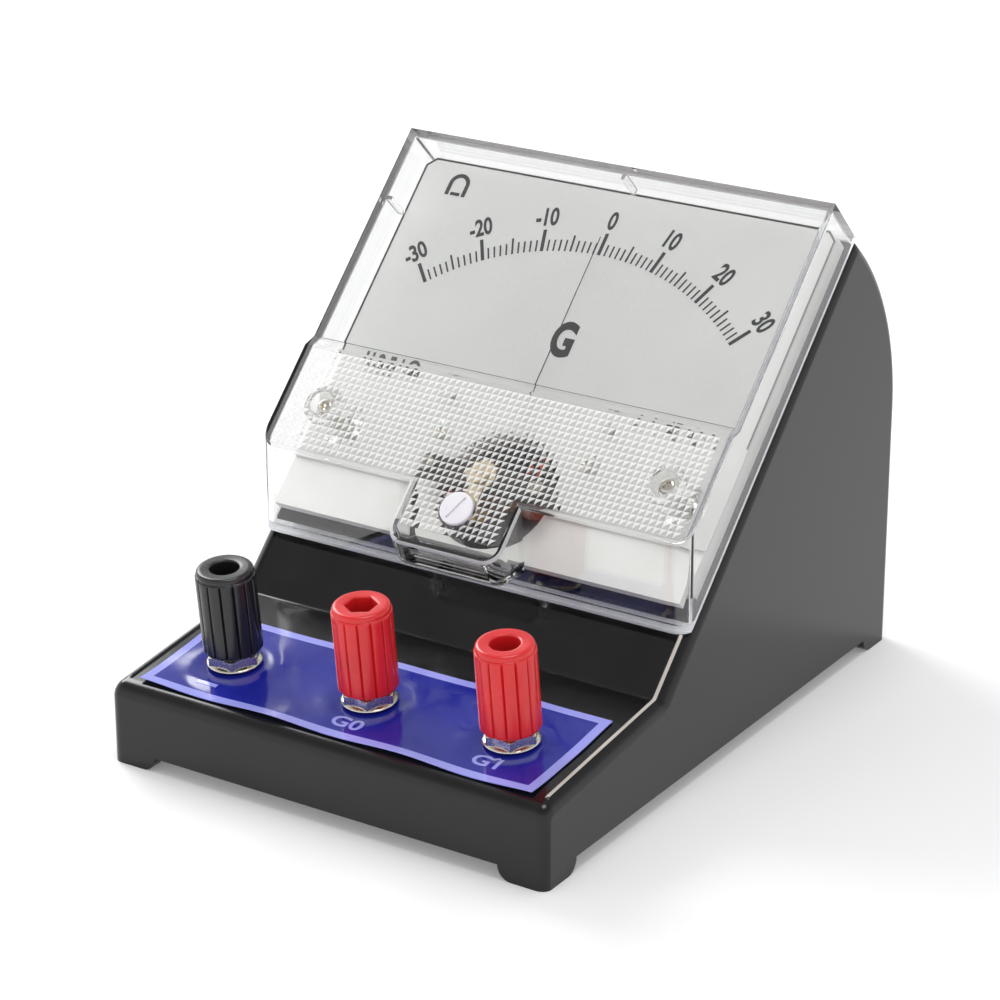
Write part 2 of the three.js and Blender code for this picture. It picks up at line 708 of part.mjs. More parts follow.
// A flat spiral strip lying round the pivot's axis.
function spiral() {
  const perTurn = 12;
  const count = SPRING_TURNS * perTurn;
  const strip = 0.25;
  const edge = (offset) => Array.from({ length: count + 1 }, (_, i) => {
    const radius = SPRING_INNER + offset + ((SPRING_OUTER - SPRING_INNER) * i) / count;
    const angle = (2 * Math.PI * i) / perTurn + Math.PI / 2;
    return [radius * Math.cos(angle), radius * Math.sin(angle)];
  });
  const outline = polygon([...edge(0), ...edge(strip).reverse()]);
  return new THREE.ExtrudeGeometry(outline, { depth: SPRING_HEIGHT, bevelEnabled: false });
}

meter.add(part('movement_frame', movementFrame(), aluminium()));
meter.add(part('pole_piece_left', polePiece(-1), steel()));
meter.add(part('pole_piece_right', polePiece(1), steel()));
meter.add(part('magnet', magnetBar(), castMetal()));
meter.add(part('iron_core', core(), steel()));
meter.add(part('upper_bridge', upperBridge(), brass()));
meter.add(part('lower_bridge', lowerBridge(), brass()));
for (const [side, word] of [[-1, 'left'], [1, 'right']]) {
  const x = side * BRIDGE_LEG_X;
  const shape = screwShape(x, PIVOT_Y, 1.6, BRIDGE_TOP + 1.2, 0.9, 0.6, -1.5);
  meter.add(part(`bridge_screw_${word}`, shape, nickel()));
}

const upperJewel = jewelScrew(9.8, 12.6, 13.2).translate([0, PIVOT_Y, 0]);
meter.add(part('upper_jewel_screw', upperJewel, brass()));
const lowerJewel = jewelScrew(18.6, 20.5, 21.3).rotate([180, 0, 0]).translate([0, PIVOT_Y, 0]);
meter.add(part('lower_jewel_screw', lowerJewel, brass()));

const lowerSpring = named('lower_hairspring', spiral(), copper());
lowerSpring.rotation.z = Math.PI;
lowerSpring.position.set(0, PIVOT_Y, LOWER_SPRING);
meter.add(lowerSpring);

// ---- Zero adjuster and its lever ----

function zeroAdjuster() {
  const disc = rod(0, 0, ADJUSTER_RADIUS, BAND_HEIGHT - GAP, BAND_HEIGHT + 0.7, 32);
  const stem = rod(0, 0, STEM_RADIUS, 12.9, BAND_HEIGHT, SMALL_ROUND);
  const pin = rod(0, PIN_OFFSET, PIN_RADIUS, 11.4, 13, SMALL_ROUND);
  const slot = block(-0.35, 0.35, -2.8, 2.8, BAND_HEIGHT + 0.2, BAND_HEIGHT + 2);
  return cut(joined(disc, stem, pin), slot);
}

// A ring round the jewel screw, a fork towards the adjuster and a spring post.
function zeroLever() {
  const low = LEVER_BOTTOM;
  const high = LEVER_TOP;
  const reach = PIVOT_Y - ADJUSTER_Y;
  const ring = rod(0, 0, 3.2, low, high);
  const arm = block(-1.6, 1.6, -reach + 0.2, -2, low, high);
  const slot = block(-0.9, 0.9, -reach, -reach + PIN_OFFSET + 1, low - 1, high + 1);
  const post = block(-0.45, 0.45, -6.3, -5.4, 8.8, low + 0.1);
  return cut(joined(ring, arm, post), slot, rod(0, 0, JEWEL_RADIUS + GAP, 10, 14));
}

const adjuster = part('zero_adjuster', zeroAdjuster(), whitePlastic());
adjuster.position.set(0, ADJUSTER_Y, 0);
meter.add(adjuster);

const lever = part('zero_lever', zeroLever(), brass());
lever.position.set(0, PIVOT_Y, 0);
meter.add(lever);

const upperSpring = named('upper_hairspring', spiral(), copper());
upperSpring.position.set(0, PIVOT_Y, UPPER_SPRING);
meter.add(upperSpring);

// ---- Moving coil, pivots and pointer ----

function coil() {
  const half = COIL_HALF_WIDTH;
  const depth = COIL_HALF_DEPTH;
  const inner = half - COIL_WALL;
  const outside = block(-half, half, -depth, depth, COIL_BOTTOM, COIL_TOP);
  const inside = block(-inner, inner, -3, 3, COIL_BOTTOM + COIL_WALL, COIL_TOP - COIL_WALL);
  return outside.subtract(inside);
}

// A pivot drawn pointing up: a foot on the coil, a shaft and a pointed end.
function pivot(foot, tip) {
  return joined(
    rod(0, 0, 1.4, foot, foot + 0.9, SMALL_ROUND),
    rod(0, 0, SHAFT_RADIUS, foot, tip - 0.7, SMALL_ROUND),
    rod(0, 0, SHAFT_RADIUS, tip - 0.7, tip, SMALL_ROUND, 0.08),
  );
}

const TAIL_LENGTH = 8.4;
const ARM_LENGTH = 5.4;

function pointer() {
  const low = POINTER_HEIGHT;
  const high = POINTER_HEIGHT + POINTER_THICKNESS;
  const hub = rod(0, 0, 1.6, low - 0.3, high + 0.3, SMALL_ROUND);
  const needle = polygon([
    [-0.4, 1],
    [0.4, 1],
    [0.14, POINTER_LENGTH],
    [-0.14, POINTER_LENGTH],
  ]);
  const tail = block(-0.25, 0.25, -TAIL_LENGTH, -1, low, high);
  const arms = block(-ARM_LENGTH, ARM_LENGTH, -0.25, 0.25, low, high);
  const body = joined(hub, slab(needle, low, high), tail, arms);
  return body.subtract(rod(0, 0, SHAFT_RADIUS + GAP, 5, 9, SMALL_ROUND));
}

// A balance weight threaded on one arm of the pointer's cross.
function weight(radius, length, distance, angle) {
  const bead = new THREE.CylinderGeometry(radius, radius, length, SMALL_ROUND);
  const bore = new THREE.CylinderGeometry(0.5, 0.5, length + 1, 8);
  const shape = solid(bead).subtract(solid(bore)).translate([0, -distance, POINTER_HEIGHT + 0.25]);
  return shape.rotate([0, 0, angle]);
}

const moving = new THREE.Group();
moving.position.set(0, PIVOT_Y, 0);
moving.add(part('moving_coil', coil(), copper()));
moving.add(part('upper_pivot', pivot(COIL_TOP + GAP, 10.2), steel()));
moving.add(part('lower_pivot', pivot(-COIL_BOTTOM + GAP, 19).rotate([180, 0, 0]), steel()));
moving.add(part('pointer', pointer(), aluminium()));
moving.add(part('balance_weight_tail', weight(1.42, 2.4, 6.35, 0), brass()));
moving.add(part('balance_weight_left', weight(0.95, 1.4, 4, -90), brass()));
moving.add(part('balance_weight_right', weight(0.95, 1.4, 4, 90), brass()));
meter.add(moving);

// ---- Internal wiring ----

// A ring terminal round a stud, seen in the case's frame.
function ringTerminal(place, level, tailLength) {
  const x = place * POST_SPACING;
  const top = level + RING_THICKNESS;
  const ring = rod(x, POST_Y, 4.6, level, top, SMALL_ROUND);
  const tail = block(x - 1.3, x + 1.3, POST_Y + 3.5, POST_Y + tailLength, level, top);
  const hole = rod(x, POST_Y, STUD_RADIUS + GAP, level - 1, level + 2, SMALL_ROUND);
  return placed(deck, cut(joined(ring, tail), hole));
}

const RING_THICKNESS = 0.6;
const UPPER_RING = -WALL - GAP - RING_THICKNESS;
const LOWER_RING = UPPER_RING - 2 * RING_THICKNESS;

function lead(place, points) {
  return joined(ringTerminal(place, UPPER_RING, 8), solid(tube(points, 0.7, 14)));
}

function resistor() {
  const y = -DEPTH / 2 + POST_Y + 5;
  const z = 14.4;
  const wire = solid(tube([
    [0.9, y, z],
    [4, y + 3, z - 1],
    [16, y + 5, z - 2],
    [28, y + 3, z - 1],
    [POST_SPACING, y, z],
  ], 0.4, 12));
  const body = new THREE.CylinderGeometry(1.8, 1.8, 9, SMALL_ROUND);
  body.rotateZ(Math.PI / 2);
  body.translate(16, y + 5, z - 2);
  const rings = [0, 1].map((place) => ringTerminal(place, LOWER_RING, 5.6));
  return joined(wire, solid(body), ...rings);
}

const blackLead = lead(-1, [
  [-POST_SPACING, -43.5, 16],
  [-31, -34, 13],
  [-28, -18, 14],
  [-24, -2, 20],
  [-17, 6, 26],
]);
const redLead = lead(0, [
  [-0.5, -43.5, 16],
  [-3, -38, 15.6],
  [-7, -24, 13],
  [3, -8, 14],
  [15, 3, 21],
  [17, 6, 26],
]);
root.add(part('lead_black', blackLead, blackPlastic()));
root.add(part('lead_red', redLead, redPlastic()));
root.add(part('series_resistor', resistor(), whitePlastic()));

export default root;
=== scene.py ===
import json
import math

import bmesh
import bpy
from mathutils import Matrix, Vector


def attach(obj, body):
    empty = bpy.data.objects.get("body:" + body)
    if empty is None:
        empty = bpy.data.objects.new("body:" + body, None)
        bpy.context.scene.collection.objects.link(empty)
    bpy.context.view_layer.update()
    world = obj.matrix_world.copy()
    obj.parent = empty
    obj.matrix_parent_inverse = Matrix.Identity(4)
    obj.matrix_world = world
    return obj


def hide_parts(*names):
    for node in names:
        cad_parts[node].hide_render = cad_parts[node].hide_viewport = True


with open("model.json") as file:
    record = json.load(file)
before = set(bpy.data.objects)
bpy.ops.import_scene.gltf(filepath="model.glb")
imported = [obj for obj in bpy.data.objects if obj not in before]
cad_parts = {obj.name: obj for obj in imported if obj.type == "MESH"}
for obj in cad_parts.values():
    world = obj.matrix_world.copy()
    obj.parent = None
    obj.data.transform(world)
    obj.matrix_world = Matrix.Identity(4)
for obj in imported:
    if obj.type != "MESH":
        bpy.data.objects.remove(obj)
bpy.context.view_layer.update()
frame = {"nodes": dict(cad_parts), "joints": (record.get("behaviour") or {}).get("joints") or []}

# ---- Frames and sizes, in millimetres ----

MM = 0.001
JOINTS = {joint["name"]: joint for joint in frame["joints"]}
WORLD = Matrix.Identity(4)


def turned(axis, point):
    """A frame tipped about X so that its z is axis, with its origin at point."""
    tip = math.atan2(-axis[1], axis[2])
    return Matrix.Translation(Vector(point)) @ Matrix.Rotation(tip, 4, "X")


def box_in(node, place=WORLD):
    """A node's lowest and highest corners in a frame, in millimetres."""
    back = place.inverted()
    points = [back @ (vertex.co / MM) for vertex in frame["nodes"][node].data.vertices]
    low = Vector([min(p[i] for p in points) for i in range(3)])
    high = Vector([max(p[i] for p in points) for i in range(3)])
    return low, high


def middle_in(node, place):
    """The middle of a node's box in a frame."""
    low, high = box_in(node, place)
    return (low + high) / 2


def joint_frame(name):
    joint = JOINTS[name]
    return turned(joint["axis"], Vector(joint["pos_m"]) / MM)


# The meter's frame: x right, y up the slope, z out of it. Its origin lies on the slope,
# at the foot of the cover's joint line.
COVER_LENGTH = 84.5
SEAT_GAP = 0.3
_pivot = joint_frame("pointer_swing")
_cover_low, _cover_high = box_in("meter_cover", _pivot)
METER = _pivot @ Matrix.Translation((0, _cover_high.y - COVER_LENGTH, _cover_low.z - SEAT_GAP))
PIVOT_Y = -(_cover_high.y - COVER_LENGTH)

# The deck's frame: x right, y up the deck from the front wall, z out of it.
_case_low, _case_high = box_in("housing")
DECK_TILT = math.atan2(-JOINTS["g0_cap_turn"]["axis"][1], JOINTS["g0_cap_turn"]["axis"][2])
FRONT_HEIGHT = 16.6
DECK = Matrix.Translation((0, _case_low.y, FRONT_HEIGHT)) @ Matrix.Rotation(DECK_TILT, 4, "X")
SLOPE = math.atan2(METER[2][1], METER[1][1])

POSTS = ("minus", "g0", "g1")


def post_frame(name):
    """A binding post's frame: its axis is z, and z is 0 on the deck."""
    middle = middle_in(f"post_{name}_stud", DECK)
    return DECK @ Matrix.Translation((middle.x, middle.y, 0))


# ---- Mesh tools ----


def linked(name, data):
    """A new object in the scene."""
    piece = bpy.data.objects.new(name, data)
    bpy.context.scene.collection.objects.link(piece)
    return piece


def shaped_mesh(piece):
    """A piece's mesh as its modifiers or its curve settings shape it."""
    graph = bpy.context.evaluated_depsgraph_get()
    return bpy.data.meshes.new_from_object(piece.evaluated_get(graph))


def mesh_object(name, points, faces, closed=True):
    """A new object; the faces of a closed one are turned outwards."""
    mesh = bpy.data.meshes.new(name)
    mesh.from_pydata([tuple(point) for point in points], [], faces)
    if closed:
        work = bmesh.new()
        work.from_mesh(mesh)
        bmesh.ops.recalc_face_normals(work, faces=work.faces)
        work.to_mesh(mesh)
        work.free()
    return linked(name, mesh)


def applied(piece):
    """Applies a piece's modifiers."""
    mesh = shaped_mesh(piece)
    piece.modifiers.clear()
    piece.data = mesh
    return piece


def moved(piece, x, y, z=0):
    piece.data.transform(Matrix.Translation((x, y, z)))
    return piece


def combine(piece, operation, tools):
    for tool in tools:
        modifier = piece.modifiers.new("solid", "BOOLEAN")
        modifier.operation = operation
        modifier.solver = "MANIFOLD"
        modifier.object = tool
    applied(piece)
    for tool in tools:
        bpy.data.objects.remove(tool)
    return piece


def joined(piece, *tools):
    return combine(piece, "UNION", tools)


def cut(piece, *tools):
    return combine(piece, "DIFFERENCE", tools)


def bevelled(piece, width, segments=3, angle=30):
    modifier = piece.modifiers.new("edges", "BEVEL")
    modifier.width = width
    modifier.segments = segments
    modifier.limit_method = "ANGLE"
    modifier.angle_limit = math.radians(angle)
    return applied(piece)


def prism(name, outline, low, high, turn=WORLD):
    """A flat outline pushed from low to high along z, then turned."""
    count = len(outline)
    points = [turn @ Vector((x, y, z)) for z in (low, high) for x, y in outline]
    sides = [(i, (i + 1) % count, (i + 1) % count + count, i + count) for i in range(count)]
    return mesh_object(name, points, [tuple(reversed(range(count))), *sides, tuple(range(count, 2 * count))])


# Turns a drawing in (x, y) into one in (y, z), pushed along x.
SIDEWAYS = Matrix(((0, 0, 1, 0), (1, 0, 0, 0), (0, 1, 0, 0), (0, 0, 0, 1)))


def side_prism(name, outline, half_width):
    return prism(name, outline, -half_width, half_width, SIDEWAYS)


def block(name, low, high):
    outline = [(low[0], low[1]), (high[0], low[1]), (high[0], high[1]), (low[0], high[1])]
    return prism(name, outline, low[2], high[2])


def circle(x, y, radius, count):
    steps = [2 * math.pi * i / count for i in range(count)]
    return [(x + radius * math.cos(a), y + radius * math.sin(a)) for a in steps]


def rod(name, x, y, radius, low, high, count=64):
    return prism(name, circle(x, y, radius, count), low, high)


def lathe(name, profile, count, radius_at=None):
    """Turns a closed (radius, z) profile round z; radius_at(radius, z, angle) may change a radius."""
    points = []
    for i in range(count):
        angle = 2 * math.pi * i / count
        for radius, z in profile:
            r = radius_at(radius, z, angle) if radius_at else radius
            points.append((r * math.cos(angle), r * math.sin(angle), z))
    rows = len(profile)
    faces = []
    for i in range(count):
        a, b = i * rows, ((i + 1) % count) * rows
        faces += [(a + j, b + j, b + (j + 1) % rows, a + (j + 1) % rows) for j in range(rows)]
    return mesh_object(name, points, faces)


def capped_lathe(name, profile, count):
    """Turns an open (radius, z) profile, drawn upwards, round z and closes its two ends flat."""
    rows = len(profile)
    points = [(x, y, z) for radius, z in profile for x, y in circle(0, 0, radius, count)]
    faces = [tuple(reversed(range(count)))]
    for j in range(rows - 1):
        a, b = j * count, (j + 1) * count
        faces += [(a + i, a + (i + 1) % count, b + (i + 1) % count, b + i) for i in range(count)]
    faces.append(tuple(range((rows - 1) * count, rows * count)))
    return mesh_object(name, points, faces)


def arc(centre, radius, start, end, steps):
    """Points of an arc, its angles in degrees."""
    angles = [math.radians(start + (end - start) * i / steps) for i in range(steps + 1)]
    return [(centre[0] + radius * math.cos(a), centre[1] + radius * math.sin(a)) for a in angles]


def placed(piece, place, sharp=35):
    """Puts a piece drawn in millimetres where it goes, in metres, and shades it smooth."""
    piece.data.transform(Matrix.Scale(MM, 4) @ place)
    for polygon in piece.data.polygons:
        polygon.use_smooth = True
    piece.data.set_sharp_from_angle(angle=math.radians(sharp))
    weighted = piece.modifiers.new("normals", "WEIGHTED_NORMAL")
    weighted.keep_sharp = True
    return piece


def finished(piece, body, surface, slot, *nodes):
    piece.data.materials.clear()
    piece.data.materials.append(surface)
    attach(piece, body)
    if nodes:
        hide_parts(*nodes)
    return piece


# ---- Materials ----


def srgb(red, green, blue):
    """A 0 to 255 screen colour as the linear colour that a shader takes."""
    values = [c / 255 for c in (red, green, blue)]
    return tuple(c / 12.92 if c <= 0.04045 else ((c + 0.055) / 1.055) ** 2.4 for c in values) + (1,)


def shaded(color, factor, lift=0.0):
    """A colour made darker or lighter."""
    return tuple(min(1, c * factor + lift) for c in color[:3]) + (1,)


class Surface:
    """A material made of a Principled shader, with procedural colour, roughness and bump."""

    def __init__(self, name, color, roughness, metallic=0.0):
        self.material = bpy.data.materials.new(name)
        self.material.use_nodes = True
        self.nodes = self.material.node_tree.nodes
        self.links = self.material.node_tree.links
        self.shader = self.nodes["Principled BSDF"]
        self.set("Base Color", color)
        self.set("Roughness", roughness)
        self.set("Metallic", metallic)
        self.color = color
        self.coordinates = self.nodes.new("ShaderNodeTexCoord").outputs["Object"]
        self.height = None

    def set(self, socket, value):
        self.shader.inputs[socket].default_value = value

    def node(self, kind, **values):
        """A new node of a kind, its sockets set by name (an underscore stands for a space)."""
        node = self.nodes.new("ShaderNode" + kind)
        for socket, value in values.items():
            node.inputs[socket.replace("_", " ")].default_value = value
        return node

    def stretched(self, scale):
        """Object coordinates in millimetres, scaled by axis."""
        mapping = self.node("Mapping", Scale=[s / MM for s in scale])
        self.links.new(self.coordinates, mapping.inputs["Vector"])
        return mapping.outputs["Vector"]

    def noise(self, size, detail=2.0, stretch=(1, 1, 1)):
        """Noise whose features are about size millimetres across."""
        noise = self.node("TexNoise", Scale=1.0, Detail=detail)
        self.links.new(self.stretched([s / size for s in stretch]), noise.inputs["Vector"])
        return noise.outputs["Fac"]

    def ranged(self, value, low, high, start=0.3, end=0.7):
        """Maps a value between start and end onto low to high."""
        ramp = self.node("MapRange", From_Min=start, From_Max=end, To_Min=low, To_Max=high)
        self.links.new(value, ramp.inputs["Value"])
        return ramp.outputs["Result"]

    def mottle(self, value, other, amount):
        """Mixes another colour into the base colour where value is high."""
        mix = self.node("Mix")
        mix.data_type = "RGBA"
        self.links.new(self.ranged(value, 0, amount), mix.inputs["Factor"])
        colour = self.shader.inputs["Base Color"]
        if colour.is_linked:
            self.links.new(colour.links[0].from_socket, mix.inputs["A"])
        else:
            mix.inputs["A"].default_value = self.color
        mix.inputs["B"].default_value = other
        self.links.new(mix.outputs["Result"], colour)

    def roughen(self, value, low, high):
        self.links.new(self.ranged(value, low, high), self.shader.inputs["Roughness"])

    def bump(self, value, depth):
        """Adds relief whose depth is given in millimetres."""
        bump = self.node("Bump", Strength=1.0, Distance=depth * MM)
        self.links.new(value, bump.inputs["Height"])
        if self.height is not None:
            self.links.new(self.height, bump.inputs["Normal"])
        self.height = bump.outputs["Normal"]
        self.links.new(self.height, self.shader.inputs["Normal"])


def moulded(name, color, roughness, ripple=0.004, ior=1.53):
    """Glossy moulded plastic: faint flow marks, fine grain, a gloss that varies a little."""
    surface = Surface(name, color, roughness)
    surface.set("IOR", ior)
    flow = surface.noise(9, 3)
    grain = surface.noise(0.25, 2)
    surface.mottle(flow, shaded(color, 1.5, 0.004), 0.35)
    surface.roughen(flow, roughness * 0.8, roughness * 1.25)
    surface.bump(flow, ripple)
    surface.bump(grain, 0.0012)
    return surface.material


def metal(name, color, roughness, grain=0.3, stretch=(1, 1, 1), depth=0.002):
    """Plated or bare metal: a fine grain, small stains and uneven polish."""
    surface = Surface(name, color, roughness, metallic=1.0)
    stain = surface.noise(2.5, 4)
    fine = surface.noise(grain, 3, stretch)
    surface.mottle(stain, shaded(color, 0.7), 0.4)
    surface.roughen(fine, roughness * 0.75, roughness * 1.35)
    surface.bump(fine, depth)
    return surface.material


def clear_plastic(name, roughness, clarity=1.0, color=(0.91, 0.913, 0.91, 1)):
    """Clear polystyrene, a little rippled. Light on its way to a lamp passes straight through."""
    surface = Surface(name, color, roughness)
    surface.set("Transmission Weight", clarity)
    surface.set("IOR", 1.57)
    surface.bump(surface.noise(14, 1), 0.006)
    surface.roughen(surface.noise(4, 3), roughness * 0.8, roughness * 1.3)
    output = surface.nodes["Material Output"]
    path = surface.node("LightPath")
    see_through = surface.node("BsdfTransparent", Color=(0.93, 0.93, 0.93, 1))
    mix = surface.node("MixShader")
    surface.links.new(path.outputs["Is Shadow Ray"], mix.inputs["Fac"])
    surface.links.new(surface.shader.outputs["BSDF"], mix.inputs[1])
    surface.links.new(see_through.outputs["BSDF"], mix.inputs[2])
    surface.links.new(mix.outputs["Shader"], output.inputs["Surface"])
    return surface.material


# Where the cover's ground foot turns from pale to painted shade, in metres.
SHADE_RISE = (0.0365, 0.038)
SHADE_SIDE = (0.0475, 0.0478)


def ground_seat():
    """The cover's ground foot: pale along the front and the right side, painted shade elsewhere."""
    surface = Surface("ground_seat", srgb(246, 248, 253), 0.55)
    parts = surface.node("SeparateXYZ")
    surface.links.new(surface.coordinates, parts.inputs["Vector"])
    up = surface.ranged(parts.outputs["Z"], 0, 1, *SHADE_RISE)
    left = surface.ranged(parts.outputs["X"], 1, 0, *SHADE_SIDE)
    painted_shade_mask = surface.node("Math")
    painted_shade_mask.operation = "MULTIPLY"
    surface.links.new(up, painted_shade_mask.inputs[0])
    surface.links.new(left, painted_shade_mask.inputs[1])
    # Painted shade: the foot turns darker above its front stretch and away from its right side.
    surface.mottle(painted_shade_mask.outputs["Value"], srgb(158, 156, 156), 1.0)
    surface.bump(surface.noise(0.5, 3), 0.01)
    return surface.material


def printed(name, color, roughness):
    """Printing ink, a little uneven in tone."""
    surface = Surface(name, color, roughness)
    surface.mottle(surface.noise(0.6, 3), shaded(color, 1.3, 0.01), 0.4)
    surface.bump(surface.noise(0.15, 2), 0.002)
    return surface.material


def dial_silver():
    """Painted aluminium with a fine satin grain."""
    surface = Surface("dial_silver", srgb(211, 212, 209), 0.45, metallic=0.15)
    fine = surface.noise(0.3, 3)
    cloud = surface.noise(18, 2)
    surface.mottle(cloud, srgb(198, 199, 197), 0.5)
    surface.mottle(fine, srgb(224, 224, 222), 0.6)
    surface.roughen(fine, 0.38, 0.55)
    surface.bump(fine, 0.003)
    return surface.material


def label_film(name, color):
    """Printed film under a glossy laminate."""
    surface = Surface(name, color, 0.12)
    surface.set("IOR", 1.5)
    cloud = surface.noise(12, 2)
    surface.mottle(cloud, shaded(color, 1.25, 0.005), 0.6)
    surface.roughen(cloud, 0.07, 0.16)
    surface.bump(surface.noise(7, 2), 0.02)
    return surface.material


def wound_wire():
    """Fine enamelled wire, wound side by side round the coil."""
    surface = Surface("wound_wire", srgb(122, 78, 56), 0.35, metallic=0.8)
    wave = surface.node("TexWave", Scale=1.0, Distortion=0.3)
    wave.bands_direction = "Y"
    surface.links.new(surface.stretched((1, 2.2, 0.1)), wave.inputs["Vector"])
    surface.mottle(wave.outputs["Fac"], srgb(72, 46, 34), 0.5)
    surface.bump(wave.outputs["Fac"], 0.05)
    return surface.material


BLACK = moulded("black_abs", (0.0042, 0.0042, 0.0046, 1), 0.16, ior=1.47)
CAP_BLACK = moulded("cap_black", (0.012, 0.012, 0.013, 1), 0.22)
CAP_RED = moulded("cap_red", srgb(208, 34, 37), 0.22)
WHITE = moulded("white_base", srgb(234, 234, 230), 0.4)
DISC_WHITE = moulded("adjuster_white", srgb(238, 236, 242), 0.3)
CLEAR = clear_plastic("clear_polystyrene", 0.012)
FLANK = clear_plastic("pimple_flank", 0.09)
# Painted highlight: a pale, half frosted copy of the flank for the flanks that face the lamps.
LIT_FLANK_PAINT = clear_plastic("pimple_painted_lit_flank", 0.45, 0.35, srgb(246, 246, 244))
# Pale, half frosted paint for the painted highlights on the cover's edges.
EDGE = clear_plastic("painted_edge_highlight", 0.35, 0.45, srgb(240, 241, 242))
SEAT = ground_seat()
# Pale paint for the painted highlight along the case's right crest.
CREST_HIGHLIGHT_PAINT = moulded("worn_crest", srgb(190, 184, 176), 0.45)
SILVER = dial_silver()
INK = printed("dial_ink", srgb(26, 26, 28), 0.4)
POINTER_BLACK = printed("pointer_black", srgb(50, 48, 46), 0.45)
LABEL_BLUE = label_film("label_blue", srgb(28, 36, 146))
LABEL_LILAC = label_film("label_lilac", srgb(152, 156, 236))
NICKEL = metal("nickel_plate", srgb(228, 224, 214), 0.2, depth=0.0005)
NUT_NICKEL = metal("nut_nickel", srgb(246, 240, 222), 0.22, depth=0.0003)
STEEL = metal("steel", srgb(150, 150, 150), 0.35, 0.2)
BRASS = metal("brass", srgb(196, 160, 92), 0.28)
PALE_BRASS = metal("pale_brass", srgb(236, 222, 196), 0.4)
BLACK_NICKEL = metal("black_nickel", srgb(84, 80, 76), 0.35)
COPPER = metal("spring_bronze", srgb(216, 180, 136), 0.35)
ALUMINIUM = metal("aluminium", srgb(186, 188, 190), 0.38, 0.2, (1, 0.1, 1))
CAST = metal("cast_magnet", srgb(72, 72, 74), 0.6, 0.6, depth=0.02)
WINDING = wound_wire()
LEAD_BLACK = moulded("lead_black", (0.012, 0.012, 0.012, 1), 0.4)
LEAD_RED = moulded("lead_red", srgb(112, 18, 16), 0.4)
TAIL_RED = moulded("tail_red", srgb(206, 24, 44), 0.4)
LEAD_ORANGE = moulded("lead_orange", srgb(222, 96, 44), 0.4)
CERAMIC = moulded("resistor_body", srgb(206, 190, 150), 0.5)

# ---- Case ----

CASE_WALL = 2.5
CASE_EDGE = 2.3
FRONT_EDGE = 3.2
CREASE_FILLET = 1.6
BACK_RADIUS = 51.4
BACK_CENTRE = (_case_high.y - _case_low.y - BACK_RADIUS, 52)
FOOT_HEIGHT = 3
FOOT_LENGTH = 10.5
CREST_HEIGHT = 0.3
CREST_START = 3.4
CREST_END = -3.2
CREST_HIGHLIGHT_HEIGHT = 0.22


def slope_line(y):
    """The slope's height at a distance from the front wall."""
    foot = METER @ Vector((0, 0, 0))
    return foot.z + (y - (foot.y - _case_low.y)) * math.tan(SLOPE)


def deck_line(y):
    return FRONT_HEIGHT + y * math.tan(DECK_TILT)


def case_side(inset, front=1.0):
    """The case's side view drawn in by inset, as (y, z, crest share) rows of a fixed count."""
    front_in = inset * front
    deck_drop = inset / math.cos(DECK_TILT)
    slope_drop = inset / math.cos(SLOPE)
    rows = [(front_in, 0, 0), (front_in, 8, 0)]
    # The rounded front edge keeps one centre at every inset.
    centre = (FRONT_EDGE, deck_line(FRONT_EDGE) - FRONT_EDGE / math.cos(DECK_TILT))
    steps = 10
    edge = arc(centre, FRONT_EDGE - inset, 180, 90 + math.degrees(DECK_TILT), steps)
    rows += [(y + (front_in - inset) * (1 - i / steps), z, 0) for i, (y, z) in enumerate(edge)]
    for y, share in ((CREST_START, 0), (CREST_START + 0.3, 0.6), (CREST_START + 0.6, 1), (20, 1)):
        rows.append((y, deck_line(y) - deck_drop, share))
    lift = CREASE_FILLET
    crease = (slope_line(0) + lift / math.cos(SLOPE) - deck_line(0) - lift / math.cos(DECK_TILT)) / (
        math.tan(DECK_TILT) - math.tan(SLOPE)
    )
    centre = (crease, deck_line(crease) + lift / math.cos(DECK_TILT))
    start, end = 270 + math.degrees(DECK_TILT), 270 + math.degrees(SLOPE)
    rows += [(y, z, 1) for y, z in arc(centre, lift + inset, start, end, 8)]
    foot = METER @ Vector((0, 0, 0))
    for along, share in ((CREST_END - 0.6, 1), (CREST_END - 0.3, 0.6), (CREST_END, 0)):
        y = foot.y - _case_low.y + along * math.cos(SLOPE)
        rows.append((y, slope_line(y) - slope_drop, share))
    radius = BACK_RADIUS - inset
    offset = (slope_line(BACK_CENTRE[0]) - slope_drop - BACK_CENTRE[1]) * math.cos(SLOPE)
    top = 90 + math.degrees(SLOPE) - math.degrees(math.acos(offset / radius))
    ridge = arc(BACK_CENTRE, radius, top, top, 1)[0]
    rows.append((ridge[0] - 0.5, slope_line(ridge[0] - 0.5) - slope_drop, 0))
    rows += [(y, z, 0) for y, z in arc(BACK_CENTRE, radius, top - 0.7, 0, 40)]
    rows.append((BACK_CENTRE[0] + radius, 0, 0))
    return rows


def case_columns():
    """Where the case's cross-section has its columns: x, inset and crest height."""
    half = -_case_low.x
    inner = half - CASE_EDGE
    columns = [(inner - 0.8, 0, 0), (inner - 0.6, 0, 0.1), (inner - 0.4, 0, 0.6), (inner - 0.2, 0, 0.95)]
    steps = 10
    for i in range(steps + 1):
        angle = math.pi / 2 * i / steps
        x = inner + CASE_EDGE * math.sin(angle)
        crest = max(0, 1 - (x - inner) / 1.1)
        columns.append((x, CASE_EDGE * (1 - math.cos(angle)), crest))
    mirrored = [(-x, inset, crest) for x, inset, crest in reversed(columns)]
    return mirrored + columns


